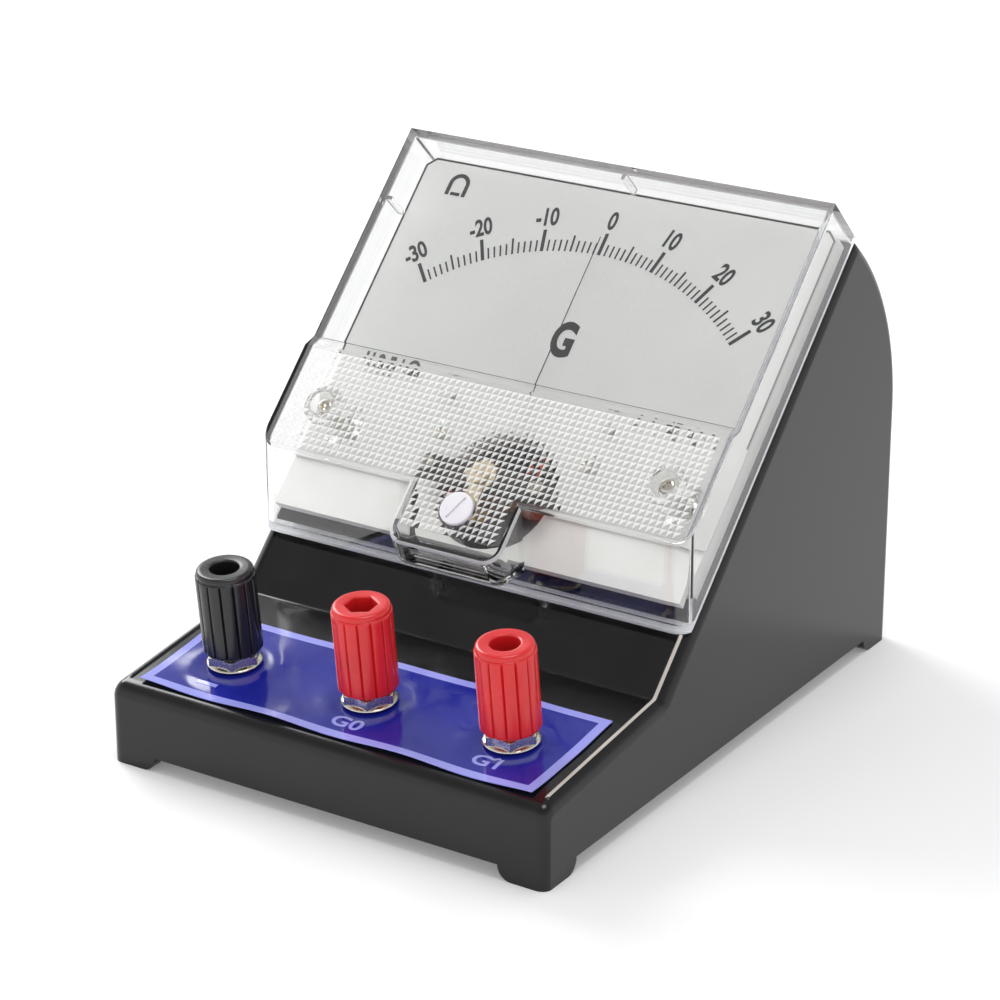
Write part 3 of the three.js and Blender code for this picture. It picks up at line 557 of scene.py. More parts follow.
def case_outer():
    points = []
    columns = case_columns()
    for x, inset, crest in columns:
        plain = case_side(inset, 0.8)
        raised = case_side(inset - crest * CREST_HEIGHT, 0.8)
        for (y, z, _), (high_y, high_z, share) in zip(plain, raised):
            points.append((x, y + (high_y - y) * share, z + (high_z - z) * share))
    rows = len(plain)
    faces = [tuple(range(rows))]
    for i in range(len(columns) - 1):
        a, b = i * rows, (i + 1) * rows
        faces += [(a + (j + 1) % rows, a + j, b + j, b + (j + 1) % rows) for j in range(rows)]
    faces.append(tuple(reversed(range(len(points) - rows, len(points)))))
    return mesh_object("case_shell", points, faces)


def foot_cuts(half_width, length):
    """The gaps between the corner feet, each foot rounded off towards its toe."""
    lift = FOOT_HEIGHT

    def gap(start, end):
        near = arc((start - lift, lift), lift, 0, -90, 6)
        far = arc((end + lift, lift), lift, 270, 180, 6)
        return [(near[-1][0], -1), (far[0][0], -1), *far, *near]

    across = gap(FOOT_LENGTH - half_width, half_width - FOOT_LENGTH)
    along = gap(FOOT_LENGTH, length - FOOT_LENGTH)
    forward = Matrix(((1, 0, 0, 0), (0, 0, 1, 0), (0, 1, 0, 0), (0, 0, 0, 1)))
    return [
        prism("gap_across", across, -1, length + 1, forward),
        side_prism("gap_along", along, half_width + 1),
    ]


def case_shell():
    length = _case_high.y - _case_low.y
    half = _case_high.x
    shell = case_outer()
    hollow_side = [(y, z if z > 0 else -1) for y, z, _ in case_side(CASE_WALL)]
    hollow = side_prism("hollow", hollow_side, half - CASE_WALL)
    cut(shell, hollow, *foot_cuts(half, length))
    shell.data.transform(Matrix.Translation((0, _case_low.y, 0)))
    low, high = box_in("movement_frame", METER)
    well = block("well", (low.x - 2, low.y - 1.4, -8), (high.x + 2, high.y + 2.1, 2))
    well.data.transform(METER)
    holes = []
    for name in POSTS:
        hole = rod("post_hole", 0, 0, 3.3, -6, 2)
        hole.data.transform(post_frame(name))
        holes.append(hole)
    return cut(shell, well, *holes)


def worn_crest(case):
    """The thin moulded crest along the right side of the deck and slope is painted pale as a highlight."""
    case.data.materials.append(CREST_HIGHLIGHT_PAINT)
    for polygon in case.data.polygons:
        middle = polygon.center / MM
        y = middle.y - _case_low.y
        over_deck = (middle.z - deck_line(y)) * math.cos(DECK_TILT)
        over_slope = (middle.z - slope_line(y)) * math.cos(SLOPE)
        # Only the crest on the right side gets the painted highlight; the left one stays black.
        if middle.x > 0 and min(over_deck, over_slope) > CREST_HIGHLIGHT_HEIGHT:
            polygon.material_index = 1


case = placed(case_shell(), WORLD)
finished(case, "case", BLACK, "black_plastic", "housing")
worn_crest(case)

# ---- Screws ----


def phillips_screw(name, radius, head, shank, depth, turn=0.0):
    """A pan-head screw drawn head up, its head's underside at z 0."""
    dome = [(0.55 * radius, head), (0.8 * radius, 0.93 * head), (0.95 * radius, 0.72 * head)]
    profile = [(0.4 * shank, -depth), (shank, -depth + 0.6 * shank), (shank, 0.02), (0.97 * radius, 0.02)]
    profile += [(radius, 0.12 * head), (radius, 0.5 * head), *reversed(dome)]
    screw = capped_lathe(name, profile, 48)
    arm, width = 0.62 * radius, 0.13 * radius
    recess = 0.62 * head
    cross = []
    for angle in (0, math.pi / 2):
        bar = block("arm", (-arm, -width, head - recess), (arm, width, head + 1))
        bar.data.transform(Matrix.Rotation(angle + turn, 4, "Z"))
        cross.append(bar)
    cone = capped_lathe("cone", [(0.05 * radius, head - 1.2 * recess), (0.42 * radius, head + 0.1)], 24)
    return cut(screw, cone, *cross)


def screw_at(node, radius, head, shank, frame_of, upside_down=False, turn=0.4):
    """Replaces a CAD screw with a finer one on the same axis and within the same length."""
    low, high = box_in(node, frame_of)
    middle = middle_in(node, frame_of)
    screw = phillips_screw(f"{node}_phillips", radius, head, shank, high.z - low.z - head, turn)
    place = Matrix.Translation((middle.x, middle.y, high.z - head))
    if upside_down:
        place = Matrix.Translation((middle.x, middle.y, low.z + head)) @ Matrix.Rotation(math.pi, 4, "X")
    return placed(screw, frame_of @ place)


for number in range(1, 5):
    node = f"base_screw_{number}"
    finished(screw_at(node, 2.2, 1.2, 1, WORLD, True, number), "case", STEEL, "steel", node)

# ---- Deck: label ----

LABEL_BORDER = 1.9
LABEL_LIFT = 0.46
LABEL_THICKNESS = 0.18
LABEL_LOW, LABEL_HIGH = box_in("label_plate", DECK)
POST_PLACES = [tuple((DECK.inverted() @ post_frame(name)).translation.xy) for name in POSTS]


def front_ripple(x):
    """The slow ripple along the film's front edge."""
    return math.cos(2 * math.pi * (x + 14.5) / 31)


def label_wave(x, y):
    """The film's height: gentle waves, a bulge round each post and a loose front edge."""
    wave = 0.07 * math.sin(x / 5.3 + 0.8) * math.cos(y / 9.0) + 0.05 * math.sin(x / 11 - y / 6 + 2)
    loose = max(0, 1 - (y - LABEL_LOW.y) / 9) ** 2
    wave += loose * 0.28 * (1 + front_ripple(x))
    for number, (px, py) in enumerate(POST_PLACES):
        distance = math.hypot(x - px, y - py)
        lean = 1 + 0.5 * math.sin(3 * math.atan2(y - py, x - px) + 2 * number)
        wave += 0.14 * lean * math.exp(-(((distance - 8.4) / 2.4) ** 2))
        wave *= min(1, max(0, (distance - 4.5) / 3))
    return LABEL_LIFT + wave


def label_edge(along, phase):
    """How far the film's hand-cut edge falls short, in millimetres."""
    return 0.18 + 0.12 * math.sin(along / 8.5 + phase) + 0.06 * math.sin(along / 3.1 + 2 * phase)


def spaced(low, high, border, count):
    """Grid lines with one on each side's border line."""
    inner = [low + border + (high - low - 2 * border) * i / count for i in range(count + 1)]
    return [low, low + border / 2, *inner, high - border / 2, high]


def label_sheet():
    low, high = LABEL_LOW, LABEL_HIGH
    xs = spaced(low.x, high.x, LABEL_BORDER, 150)
    ys = spaced(low.y, high.y, LABEL_BORDER, 44)
    points = []
    for y in ys:
        for x in xs:
            across = 2 * (x - low.x) / (high.x - low.x) - 1
            along = 2 * (y - low.y) / (high.y - low.y) - 1
            pull_x = across * abs(across) * label_edge(y, 1.1 if across < 0 else 2.3)
            edge = 0.25 + 0.15 * front_ripple(x) if along < 0 else label_edge(x, 1.9)
            points.append((x - pull_x, y - along * abs(along) * edge, label_wave(x, y)))
    width = len(xs)
    starts = [j * width + i for j in range(len(ys) - 1) for i in range(width - 1)]
    faces = [(a, a + 1, a + width + 1, a + width) for a in starts]
    sheet = mesh_object("label_sheet", points, faces, closed=False)
    sheet.data.materials.append(LABEL_BLUE)
    sheet.data.materials.append(LABEL_LILAC)
    for polygon in sheet.data.polygons:
        i, j = polygon.index % (width - 1), polygon.index // (width - 1)
        border = i < 2 or j < 2 or i > width - 4 or j > len(ys) - 4
        polygon.material_index = 1 if border else 0
    thick = sheet.modifiers.new("film", "SOLIDIFY")
    thick.thickness = LABEL_THICKNESS
    thick.offset = -1
    applied(sheet)
    return cut(sheet, *[rod("hole", x, y, 3.4, -2, 3) for x, y in POST_PLACES])


label = placed(label_sheet(), DECK)
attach(label, "case")
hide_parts("label_plate")

INK_THICKNESS = 0.05
# The height of a capital letter as a share of the type size.
CAPITAL_SHARE = 0.73


def text_mesh(name, text, height, bold=0.0, narrow=1.0):
    """Generic lettering as a mesh, centred on the origin, with capitals of the given height."""
    curve = bpy.data.curves.new(name, "FONT")
    curve.body = text
    curve.size = height / CAPITAL_SHARE
    curve.align_x = "CENTER"
    curve.align_y = "CENTER"
    curve.offset = bold
    curve.extrude = INK_THICKNESS / 2
    curve.resolution_u = 6
    writing = linked(name, curve)
    mesh = shaped_mesh(writing)
    bpy.data.objects.remove(writing)
    xs = [v.co.x for v in mesh.vertices]
    ys = [v.co.y for v in mesh.vertices]
    centre = Vector(((min(xs) + max(xs)) / 2, (min(ys) + max(ys)) / 2, 0))
    mesh.transform(Matrix.Scale(narrow, 4, (1, 0, 0)) @ Matrix.Translation(-centre))
    return mesh


def gathered(name, meshes):
    """One object holding several meshes."""
    points, faces = [], []
    for mesh in meshes:
        start = len(points)
        points += [vertex.co.copy() for vertex in mesh.vertices]
        faces += [tuple(start + i for i in polygon.vertices) for polygon in mesh.polygons]
    return mesh_object(name, points, faces)


def flat_mesh(name, outline):
    """A flat outline as thick as printing ink."""
    piece = prism(name, outline, -INK_THICKNESS / 2, INK_THICKNESS / 2)
    mesh = piece.data
    bpy.data.objects.remove(piece)
    return mesh


def bar_mesh(width, length):
    """A flat bar centred on the origin, its length along y."""
    x, y = width / 2, length / 2
    return flat_mesh("bar", [(-x, -y), (x, -y), (x, y), (-x, y)])


def label_marks():
    """The terminals' generic signs, laid on the film."""
    minus = bar_mesh(4.8, 1.0)
    minus.transform(Matrix.Translation((-31.9, 7.6, 0)))
    signs = [minus]
    for text, x, y in (("G0", 1.0, 8.0), ("G1", 31.7, 8.6)):
        sign = text_mesh("sign", text, 3.4, 0.1)
        sign.transform(Matrix.Translation((x, y, 0)) @ Matrix.Scale(1.2, 4, (1, 0, 0)))
        signs.append(sign)
    # The figure 1 has a short sloping flag.
    flag = bar_mesh(0.6, 1.5)
    flag.transform(Matrix.Translation((33.1, 10.0, 0)) @ Matrix.Rotation(math.radians(-52), 4, "Z"))
    marks = gathered("label_marks", [*signs, flag])
    for vertex in marks.data.vertices:
        vertex.co.z += label_wave(vertex.co.x, vertex.co.y) + 0.05
    return marks


finished(placed(label_marks(), DECK), "case", LABEL_LILAC, "label")

# ---- Deck: binding posts ----

CAP_RADIUS = 5.9
CAP_FLUTES = 14
CAP_HOLE = 2.85
CROWN_RADIUS = 5.6
RIB_START = 1.05
FLUTE_DEPTH = 0.42
NUT_ACROSS_FLATS = 9.4


def cap_profile(low, high):
    """The cap's section, from its stepped bore over its rim and down its grip."""
    stud_top = high - 4.05
    bush_top = high - 7.25
    profile = [(4.3, low), (4.3, bush_top), (3.3, bush_top), (3.3, stud_top), (CAP_HOLE, stud_top)]
    profile += [(CAP_HOLE, stud_top + (high - 0.35 - stud_top) * i / 4) for i in range(1, 4)]
    profile += arc((CAP_HOLE + 0.35, high - 0.4), 0.35, 180, 90, 4)
    profile += [(3.9, high - 0.05), (4.5, high)]
    profile += arc((CROWN_RADIUS - 0.75, high - 0.75), 0.75, 90, 0, 7)
    profile += [(CROWN_RADIUS, high - 1.0), (CROWN_RADIUS + 0.01, high - 1.1)]
    profile += arc((CAP_RADIUS - 0.45, high - 1.6), 0.45, 75, 0, 5)
    body = [high - 2.2 - (high - 2.2 - low - 1.1) * i / 14 for i in range(15)]
    profile += [(CAP_RADIUS, z) for z in body]
    profile += arc((CAP_RADIUS - 0.7, low + 0.7), 0.7, 0, -70, 4)
    profile.append((4.6, low))
    return profile


def cap(name, place, surface, slot, hexagonal):
    low, high = box_in(f"post_{name}_cap", place)
    shoulder = high.z - RIB_START
    hole_floor = high.z - 3.9

    def grip(radius, z, angle):
        if radius > 4.9 and z < shoulder:
            turn = (angle * CAP_FLUTES / (2 * math.pi)) % 1 - 0.5
            fade = min(1, (shoulder - z) / 0.8)
            lobe = 0.16 * (1 - 2 * abs(turn)) ** 2
            return radius - fade * (lobe + FLUTE_DEPTH * math.exp(-((turn / 0.055) ** 2)))
        if hexagonal and radius <= CAP_HOLE + 0.36 and z > hole_floor:
            side = (angle + math.pi / 6) % (math.pi / 3) - math.pi / 6
            return radius * 0.96 / math.cos(side)
        return radius

    piece = lathe(f"cap_{name}", cap_profile(low.z, high.z), CAP_FLUTES * 20, grip)
    finished(placed(piece, place, 30), f"{name}_cap", surface, slot, f"post_{name}_cap")


def flange_nut(name, place):
    """A hexagonal nut with chamfered corners on a round, rounded flange."""
    low, high = box_in(f"post_{name}_nut", place)
    body = rod("hexagon", 0, 0, NUT_ACROSS_FLATS / math.sqrt(3), low.z + 0.5, high.z, 6)
    cone = capped_lathe("chamfer", [(6.5, low.z), (6.5, high.z - 1.1), (4.6, high.z)], 64)
    combine(body, "INTERSECT", [cone])
    flange = [(5.2, low.z), *arc((5.3, low.z + 0.22), 0.2, -60, 60, 5)]
    flange += [(5.0, low.z + 0.62), (4.4, low.z + 0.8)]
    nut = capped_lathe(f"nut_{name}", flange, 96)
    joined(nut, body)
    bore = capped_lathe("bore", [(3.3, low.z - 1), (3.3, high.z - 0.4), (3.8, high.z + 0.1)], 64)
    cut(nut, bore)
    finished(placed(bevelled(nut, 0.07, 2, 40), place, 25), "case", NUT_NICKEL, "nickel", f"post_{name}_nut")


for name in POSTS:
    place = post_frame(name)
    surface, slot = (CAP_BLACK, "black_plastic") if name == "minus" else (CAP_RED, "red_plastic")
    cap(name, place, surface, slot, name == "g0")
    flange_nut(name, place)

# ---- Clear cover ----

COVER_HALF = (_cover_high.x - _cover_low.x) / 2
COVER_WALL = 1.25
WINDOW_HEIGHT = 13.68
BAND_HEIGHT = 15.3
BAND_TOP = 31.6
BAND_BEVEL_TOP = 34.3
BAND_BOTTOM = 8.6
FRONT_CORNER = 3.2
COVER_BOTTOM = 32
NOSE_HALF = 12.9
NOSE_END = -4.4
NOSE_CORNER = 3.6
WELL_RADIUS = 2.5
SCREW_FLOOR = 12.4
PAD_FLOOR = 14.3
RIB_LOW, RIB_HIGH = 6.2, 12.6
PIMPLE_PITCH = 1.46
PIMPLE_HEIGHT = 0.14
STIPPLE_START = 9.4
STIPPLE_END = 31.3
NOSE_STIPPLE_END = -1.0
STIPPLE_ROWS = range(-8, 15)
# The number of each of the cover's materials after its clear one.
SEAT_FACE, FLANK_FACE, LIT_FLANK_FACE, EDGE_HIGHLIGHT_FACE = 1, 2, 3, 4

_adjuster_low, _adjuster_high = box_in("zero_adjuster", METER)
ADJUSTER = tuple(middle_in("zero_adjuster", METER).xy)
ADJUSTER_RADIUS = (_adjuster_high.x - _adjuster_low.x) / 2


COVER_SCREWS = [tuple(middle_in(f"cover_screw_{side}", METER).xy) for side in ("left", "right")]


def cover_side(inset, foot):
    """The cover's side view drawn in by inset and running down to foot."""

    def height(point):
        return METER[2][3] + point[0] * math.sin(SLOPE) + point[1] * math.cos(SLOPE)

    band = BAND_HEIGHT - inset
    window = WINDOW_HEIGHT - inset
    lip = (BAND_BOTTOM + 0.41 * inset, band)
    drop = height(lip) - COVER_BOTTOM - inset
    corner = (lip[0] - drop * math.sin(SLOPE), lip[1] - drop * math.cos(SLOPE))
    run = (corner[1] - foot) / math.sin(SLOPE)
    heel = (corner[0] + run * math.cos(SLOPE), foot)
    far = COVER_LENGTH - inset
    # The inner side of the step lies a little further back, so that no light is trapped in it.
    step = [(BAND_BEVEL_TOP + 0.3 * inset, window), (BAND_TOP + 0.5 * inset, band)]
    return [heel, (far, foot), (far, window), *step, lip, corner]


def nose_side(inset):
    face = BAND_HEIGHT - inset
    end = NOSE_END + inset
    foot = 3.7 + inset
    toe = (end - 1.9, face - 7.1 + 1.2 * inset)
    return [(BAND_BOTTOM + 2, foot), (BAND_BOTTOM + 2, face), (end, face), toe, (-1.7 + inset, foot)]


def nose_block(name, inset, half, corner):
    """The nose, its two end corners rounded in plan and its sides spread a little downwards."""
    nose = side_prism(name, nose_side(inset), half)
    for vertex in nose.data.vertices:
        vertex.co.x *= 1 + 0.085 * (BAND_HEIGHT - inset - vertex.co.z) / 11
    attribute = nose.data.attributes.new("bevel_weight_edge", "FLOAT", "EDGE")
    for edge in nose.data.edges:
        a, b = (nose.data.vertices[i].co for i in edge.vertices)
        lengthwise = abs(a.x - b.x) < 2 and a.y < 2 and b.y < 2 and abs(a.y - b.y) < 5
        attribute.data[edge.index].value = 1.0 if lengthwise else 0.0
    modifier = nose.modifiers.new("corners", "BEVEL")
    modifier.width = corner
    modifier.segments = 7
    modifier.limit_method = "WEIGHT"
    return applied(nose)


def pimple_cells():
    """The grid cells, as (column, row), that carry a pimple."""
    cells = set()
    columns = int(2 * (COVER_HALF - 1.5) / PIMPLE_PITCH)
    first = -columns * PIMPLE_PITCH / 2
    for i in range(columns):
        x = first + (i + 0.5) * PIMPLE_PITCH
        for j in STIPPLE_ROWS:
            y = STIPPLE_START + (j + 0.5) * PIMPLE_PITCH
            on_band = j >= 0 and y < STIPPLE_END
            on_nose = j < 0 and abs(x) < NOSE_HALF - 1.4 and y > NOSE_STIPPLE_END
            if on_band or on_nose:
                cells.add((i, j))
    return cells, first


def stipple_tool():
    """What is cut from the band to leave its grid of small pyramids."""
    cells, first = pimple_cells()
    points, faces, corners = [], [], {}

    def corner(i, j, top):
        key = (i, j, top)
        if key not in corners:
            corners[key] = len(points)
            height = BAND_HEIGHT + 2 if top else BAND_HEIGHT - PIMPLE_HEIGHT
            points.append((first + i * PIMPLE_PITCH, STIPPLE_START + j * PIMPLE_PITCH, height))
        return corners[key]

    for i, j in sorted(cells):
        ring = [(i, j), (i + 1, j), (i + 1, j + 1), (i, j + 1)]
        peak = len(points)
        x = first + (i + 0.5) * PIMPLE_PITCH
        y = STIPPLE_START + (j + 0.5) * PIMPLE_PITCH
        points.append((x, y, BAND_HEIGHT + 0.02))
        low = [corner(a, b, False) for a, b in ring]
        high = [corner(a, b, True) for a, b in ring]
        faces += [(low[(k + 1) % 4], low[k], peak) for k in range(4)]
        faces.append(tuple(high))
        sides = [(i, j - 1), (i + 1, j), (i, j + 1), (i - 1, j)]
        for k, beside in enumerate(sides):
            if beside not in cells:
                n = (k + 1) % 4
                faces.append((low[k], low[n], high[n], high[k]))
    return mesh_object("stipple", points, faces)


def plan_block(half, corner, inset):
    """An upright block whose two front corners are rounded in plan, in the meter's frame."""
    face = METER @ Vector((0, *cover_side(0, SEAT_GAP)[-1]))
    front = face.y + inset
    outline = arc((half - corner, front + corner), corner, 0, -90, 9)
    outline += arc((corner - half, front + corner), corner, 270, 180, 9)
    outline += [(-half, front + 90), (half, front + 90)]
    plan = prism("plan", outline, 0, 120)
    plan.data.transform(METER.inverted())
    return plan


def cover_walls():
    """The cover's shell with its nose, before its band is worked."""
    wall = COVER_WALL
    outer = side_prism("meter_cover_moulding", cover_side(0, SEAT_GAP), COVER_HALF + 1)
    combine(outer, "INTERSECT", [plan_block(COVER_HALF, FRONT_CORNER, 0)])
    outer = bevelled(outer, 0.6, 5, 35)
    joined(outer, bevelled(nose_block("nose", 0, NOSE_HALF, NOSE_CORNER), 0.8, 5, 35))
    inner = side_prism("inner", cover_side(wall, -2), COVER_HALF)
    combine(inner, "INTERSECT", [plan_block(COVER_HALF - wall, FRONT_CORNER - wall, wall)])
    inner = bevelled(inner, 0.5, 5, 35)
    inner_nose = nose_block("inner_nose", wall, NOSE_HALF - wall, NOSE_CORNER - wall)
    return cut(outer, joined(inner, inner_nose))


def cover_shell():
    """The cover with its stipple, screw wells, adjuster hole and two short ribs."""
    shell = cut(cover_walls(), stipple_tool())
    pads = [rod("pad", x, y, WELL_RADIUS + 0.45, PAD_FLOOR, BAND_HEIGHT, 72) for x, y in COVER_SCREWS]
    pads.append(rod("pad", *ADJUSTER, ADJUSTER_RADIUS + 0.5, PAD_FLOOR, BAND_HEIGHT, 72))
    boss_profile = [(4.0, 5.1), (4.2, PAD_FLOOR)]
    bosses = [moved(capped_lathe("boss", boss_profile, 64), x, y) for x, y in COVER_SCREWS]
    ribs = [
        block("rib", (-COVER_HALF + 1, 67.8, RIB_LOW), (-COVER_HALF + 2.7, 68.6, RIB_HIGH)),
        block("rib", (2.1, COVER_LENGTH - 2.7, RIB_LOW), (2.9, COVER_LENGTH - 1, RIB_HIGH)),
    ]
    joined(shell, *pads, *bosses, *ribs)
    tools = []
    above = BAND_HEIGHT + 1
    well_profile = [(WELL_RADIUS - 0.2, SCREW_FLOOR), (WELL_RADIUS + 0.1, above)]
    for x, y in COVER_SCREWS:
        well = moved(capped_lathe("well", well_profile, 72), x, y)
        tools += [well, rod("bore", x, y, 1.3, 0, 13, 32)]
    tools.append(rod("dish", *ADJUSTER, ADJUSTER_RADIUS + 0.2, BAND_HEIGHT - 0.6, above, 96))
    tools.append(rod("hole", *ADJUSTER, 2.3, 5, above, 48))
    return cut(shell, *tools)


def cover_surface(middle, normal):
    """The material number of a face of the cover, from its middle and its normal."""
    if middle.z < SEAT_GAP + 0.05:
        return SEAT_FACE
    on_stipple = BAND_HEIGHT - PIMPLE_HEIGHT < middle.z < BAND_HEIGHT and middle.y < STIPPLE_END
    if on_stipple and 0.9 < normal.z < 0.995:
        # Painted highlight: flanks facing up the slope or to the left, towards the lamps, take the pale half
        # frosted paint; the rest stay clear.
        return LIT_FLANK_FACE if normal.y > 0.1 or normal.x < -0.1 else FLANK_FACE
    if middle.z > BAND_HEIGHT - 0.9 and 0.2 < abs(normal.z) < 0.97:
        on_nose = middle.y < BAND_BOTTOM - 0.2 and abs(middle.x) < NOSE_HALF + 1.6
        on_lip = abs(middle.y - BAND_BOTTOM) < 0.9 and normal.y < -0.2
        on_left_edge = middle.x < 0.9 - COVER_HALF and middle.y < BAND_TOP
        # Painted highlight: the nose's bevels, the lip and the left edge take the pale half frosted paint.
        if on_nose or on_lip or on_left_edge:
            return EDGE_HIGHLIGHT_FACE
    return 0


def surfaced(cover):
    """Gives the cover a ground seat, a painted highlight on the pimples' flanks that face the lamps and
    painted pale highlights on some edges.
    """
    for surface in (SEAT, FLANK, LIT_FLANK_PAINT, EDGE):
        cover.data.materials.append(surface)
    back = METER.inverted() @ Matrix.Scale(1 / MM, 4)
    turn = METER.to_3x3().inverted()
    for polygon in cover.data.polygons:
        polygon.material_index = cover_surface(back @ polygon.center, turn @ polygon.normal)


cover = placed(cover_shell(), METER, 19)
finished(cover, "case", CLEAR, "clear_cover", "meter_cover")
surfaced(cover)
for side, turn in (("left", 0.5), ("right", 0.9)):
    node = f"cover_screw_{side}"
    finished(screw_at(node, 1.75, 1.1, 0.95, METER, turn=turn), "case", NICKEL, "nickel", node)


SLOT_ANGLE = -26


def zero_disc():
    """The white screwdriver disc, its stem, and the pin that swings the lever."""
    low, high = _adjuster_low, _adjuster_high
    radius = ADJUSTER_RADIUS
    profile = [(2, low.z + 1.5), (2, high.z - 1.1), (radius - 0.1, high.z - 1)]
    profile += [(radius, high.z - 0.85), (radius, high.z - 0.25)]
    profile += arc((radius - 0.25, high.z - 0.25), 0.25, 20, 90, 3)
    disc = capped_lathe("zero_disc", profile, 96)
    joined(disc, rod("pin", 0, 1.6, 0.5, low.z, low.z + 1.8, 24))
    slot = block("slot", (-0.3, -2.7, high.z - 0.5), (0.3, 2.7, high.z + 1))
    slot.data.transform(Matrix.Rotation(math.radians(SLOT_ANGLE), 4, "Z"))
    return cut(disc, slot)


disc_place = METER @ Matrix.Translation((*ADJUSTER, 0))
finished(placed(zero_disc(), disc_place), "zero_adjuster", DISC_WHITE, "adjuster", "zero_adjuster")

# ---- Dial ----

DIAL_LOW, DIAL_HIGH = box_in("dial_plate", METER)
DIAL_NIP = 2
INK_HEIGHT = DIAL_HIGH.z + 0.02
SCALE_CENTRE = (0.2, PIVOT_Y - 0.45)
OPENING_RADIUS = 13
# Where the painted shadow line down the dial's sides ends.
EDGE_SHADOW_END = 34
DIVISION = math.radians(1.37)
DIVISIONS = 30
TICK_START = 54.2
NUMERAL_RADIUS = 62.2


def dial_sheet():
    low, high, nip = DIAL_LOW, DIAL_HIGH, DIAL_NIP
    outline = [(low.x, low.y), (high.x, low.y), (high.x, high.y - nip), (high.x - nip, high.y)]
    outline += [(low.x + nip, high.y), (low.x, high.y - nip)]
    sheet = prism("dial_sheet", outline, low.z, high.z)
    tools = [rod("window", 0, PIVOT_Y, OPENING_RADIUS, 0, 9, 128)]
    tools.append(block("foot", (-OPENING_RADIUS + 0.4, 0, 0), (OPENING_RADIUS - 0.4, PIVOT_Y, 9)))
    tools += [rod("notch", x, y, 4.6, 0, 9, 64) for x, y in COVER_SCREWS]
    holes = (("bridge_screw", 1.9, 48), ("dial_screw", 1.1, 32), ("stop_pin", 0.8, 32))
    for word in ("left", "right"):
        for node, radius, count in holes:
            middle = middle_in(f"{node}_{word}", METER)
            tools.append(rod("hole", middle.x, middle.y, radius, 0, 9, count))
    return bevelled(cut(sheet, *tools), 0.06, 2, 40)


finished(placed(dial_sheet(), METER), "case", SILVER, "dial", "dial_plate")


def on_scale(mesh, angle, radius):
    """Puts a flat mark at an angle and radius round the scale's centre."""
    centre = Matrix.Translation((*SCALE_CENTRE, INK_HEIGHT))
    mesh.transform(centre @ Matrix.Rotation(-angle, 4, "Z") @ Matrix.Translation((0, radius, 0)))
    return mesh


def scale_marks():
    marks = []
    for division in range(-DIVISIONS, DIVISIONS + 1):
        if division % 10 == 0:
            length, width = 5.0, 0.75
        elif division % 5 == 0:
            length, width = 3.7, 0.42
        else:
            length, width = 2.6, 0.36
        marks.append(on_scale(bar_mesh(width, length), division * DIVISION, TICK_START + length / 2))
        if division % 10 == 0:
            numeral = text_mesh("numeral", str(division), 4.1, 0.15, 0.68)
            marks.append(on_scale(numeral, division * DIVISION, NUMERAL_RADIUS))
    return marks


def ring_mesh(radius, width, start, end, steps=24):
    """A flat arc of constant width, its angles in degrees."""
    outline = arc((0, 0), radius + width / 2, start, end, steps)
    outline += arc((0, 0), radius - width / 2, end, start, steps)
    return flat_mesh("ring", outline)


def moving_coil_sign(size):
    """The usual sign for a moving-coil meter: a horseshoe magnet over a short bar."""
    leg = (0.16 * size, 0.5 * size)
    parts = [
        (bar_mesh(*leg), -0.36, -0.12),
        (bar_mesh(*leg), 0.36, -0.12),
        (ring_mesh(0.36 * size, 0.16 * size, 0, 180), 0, 0.12),
        (bar_mesh(0.4 * size, 0.13 * size), 0, -0.3),
    ]
    for mesh, x, y in parts:
        mesh.transform(Matrix.Translation((x * size, y * size, 0)))
    return [mesh for mesh, x, y in parts]


def at_point(meshes, x, y):
    for mesh in meshes:
        mesh.transform(Matrix.Translation((x, y, INK_HEIGHT)))
    return meshes


def border_marks(width=0.4):
    """A painted shadow: a dark line round the dial's sides and top, cut across its nipped corners."""
    edge = 0.12 + width / 2
    cut_off = DIAL_NIP + 0.4 * edge
    x, y = DIAL_HIGH.x, DIAL_HIGH.y
    half = [(x - cut_off, y - edge), (x - edge, y - cut_off), (x - edge, EDGE_SHADOW_END)]
    corners = [(-a, b) for a, b in reversed(half)] + half
    marks = []
    for start, end in zip(corners, corners[1:]):
        along = Vector(end) - Vector(start)
        bar = bar_mesh(width, along.length + 0.1)
        middle = (Vector(start) + Vector(end)) / 2
        turn = Matrix.Rotation(math.atan2(-along.x, along.y), 4, "Z")
        bar.transform(Matrix.Translation((*middle, INK_HEIGHT)) @ turn)
        marks.append(bar)
    return marks


def class_signs():
    """Small signs low on the dial, half behind the stippled band, as (mesh, x, y)."""
    return [
        (bar_mesh(0.6, 3.6), -41.2, 35.5),
        (bar_mesh(0.6, 3.6), -39.7, 35.5),
        (text_mesh("class", "2.5", 3.6, 0.16, 0.75), -36.2, 35.4),
        (bar_mesh(0.5, 3.4), -32.4, 35.5),
        (text_mesh("unit_sign", "\u03a9", 3.4, 0.14, 0.9), -29.6, 35.6),
        (bar_mesh(0.5, 3.2), 24.0, 35.0),
        (bar_mesh(0.5, 3.2), 27.2, 35.0),
        (text_mesh("angle", "45", 3.3, 0.12, 0.8), 31.6, 34.9),
        (ring_mesh(1.4, 0.45, 0, 359), 36.6, 34.8),
        (text_mesh("kind", "1", 3.3, 0.12, 0.8), 40.6, 34.6),
    ]


def dial_marks():
    # The dark line round the dial is painted shadow, drawn in the same ink as the scale.
    marks = scale_marks() + border_marks()
    marks += at_point([text_mesh("unit", "G", 7.6, 0.42, 0.7)], 0.7, 48.2)
    marks += at_point(moving_coil_sign(5.6), -37.9, 76.7)
    for mesh, x, y in class_signs():
        marks += at_point([mesh], x, y)
    return gathered("dial_marks", marks)


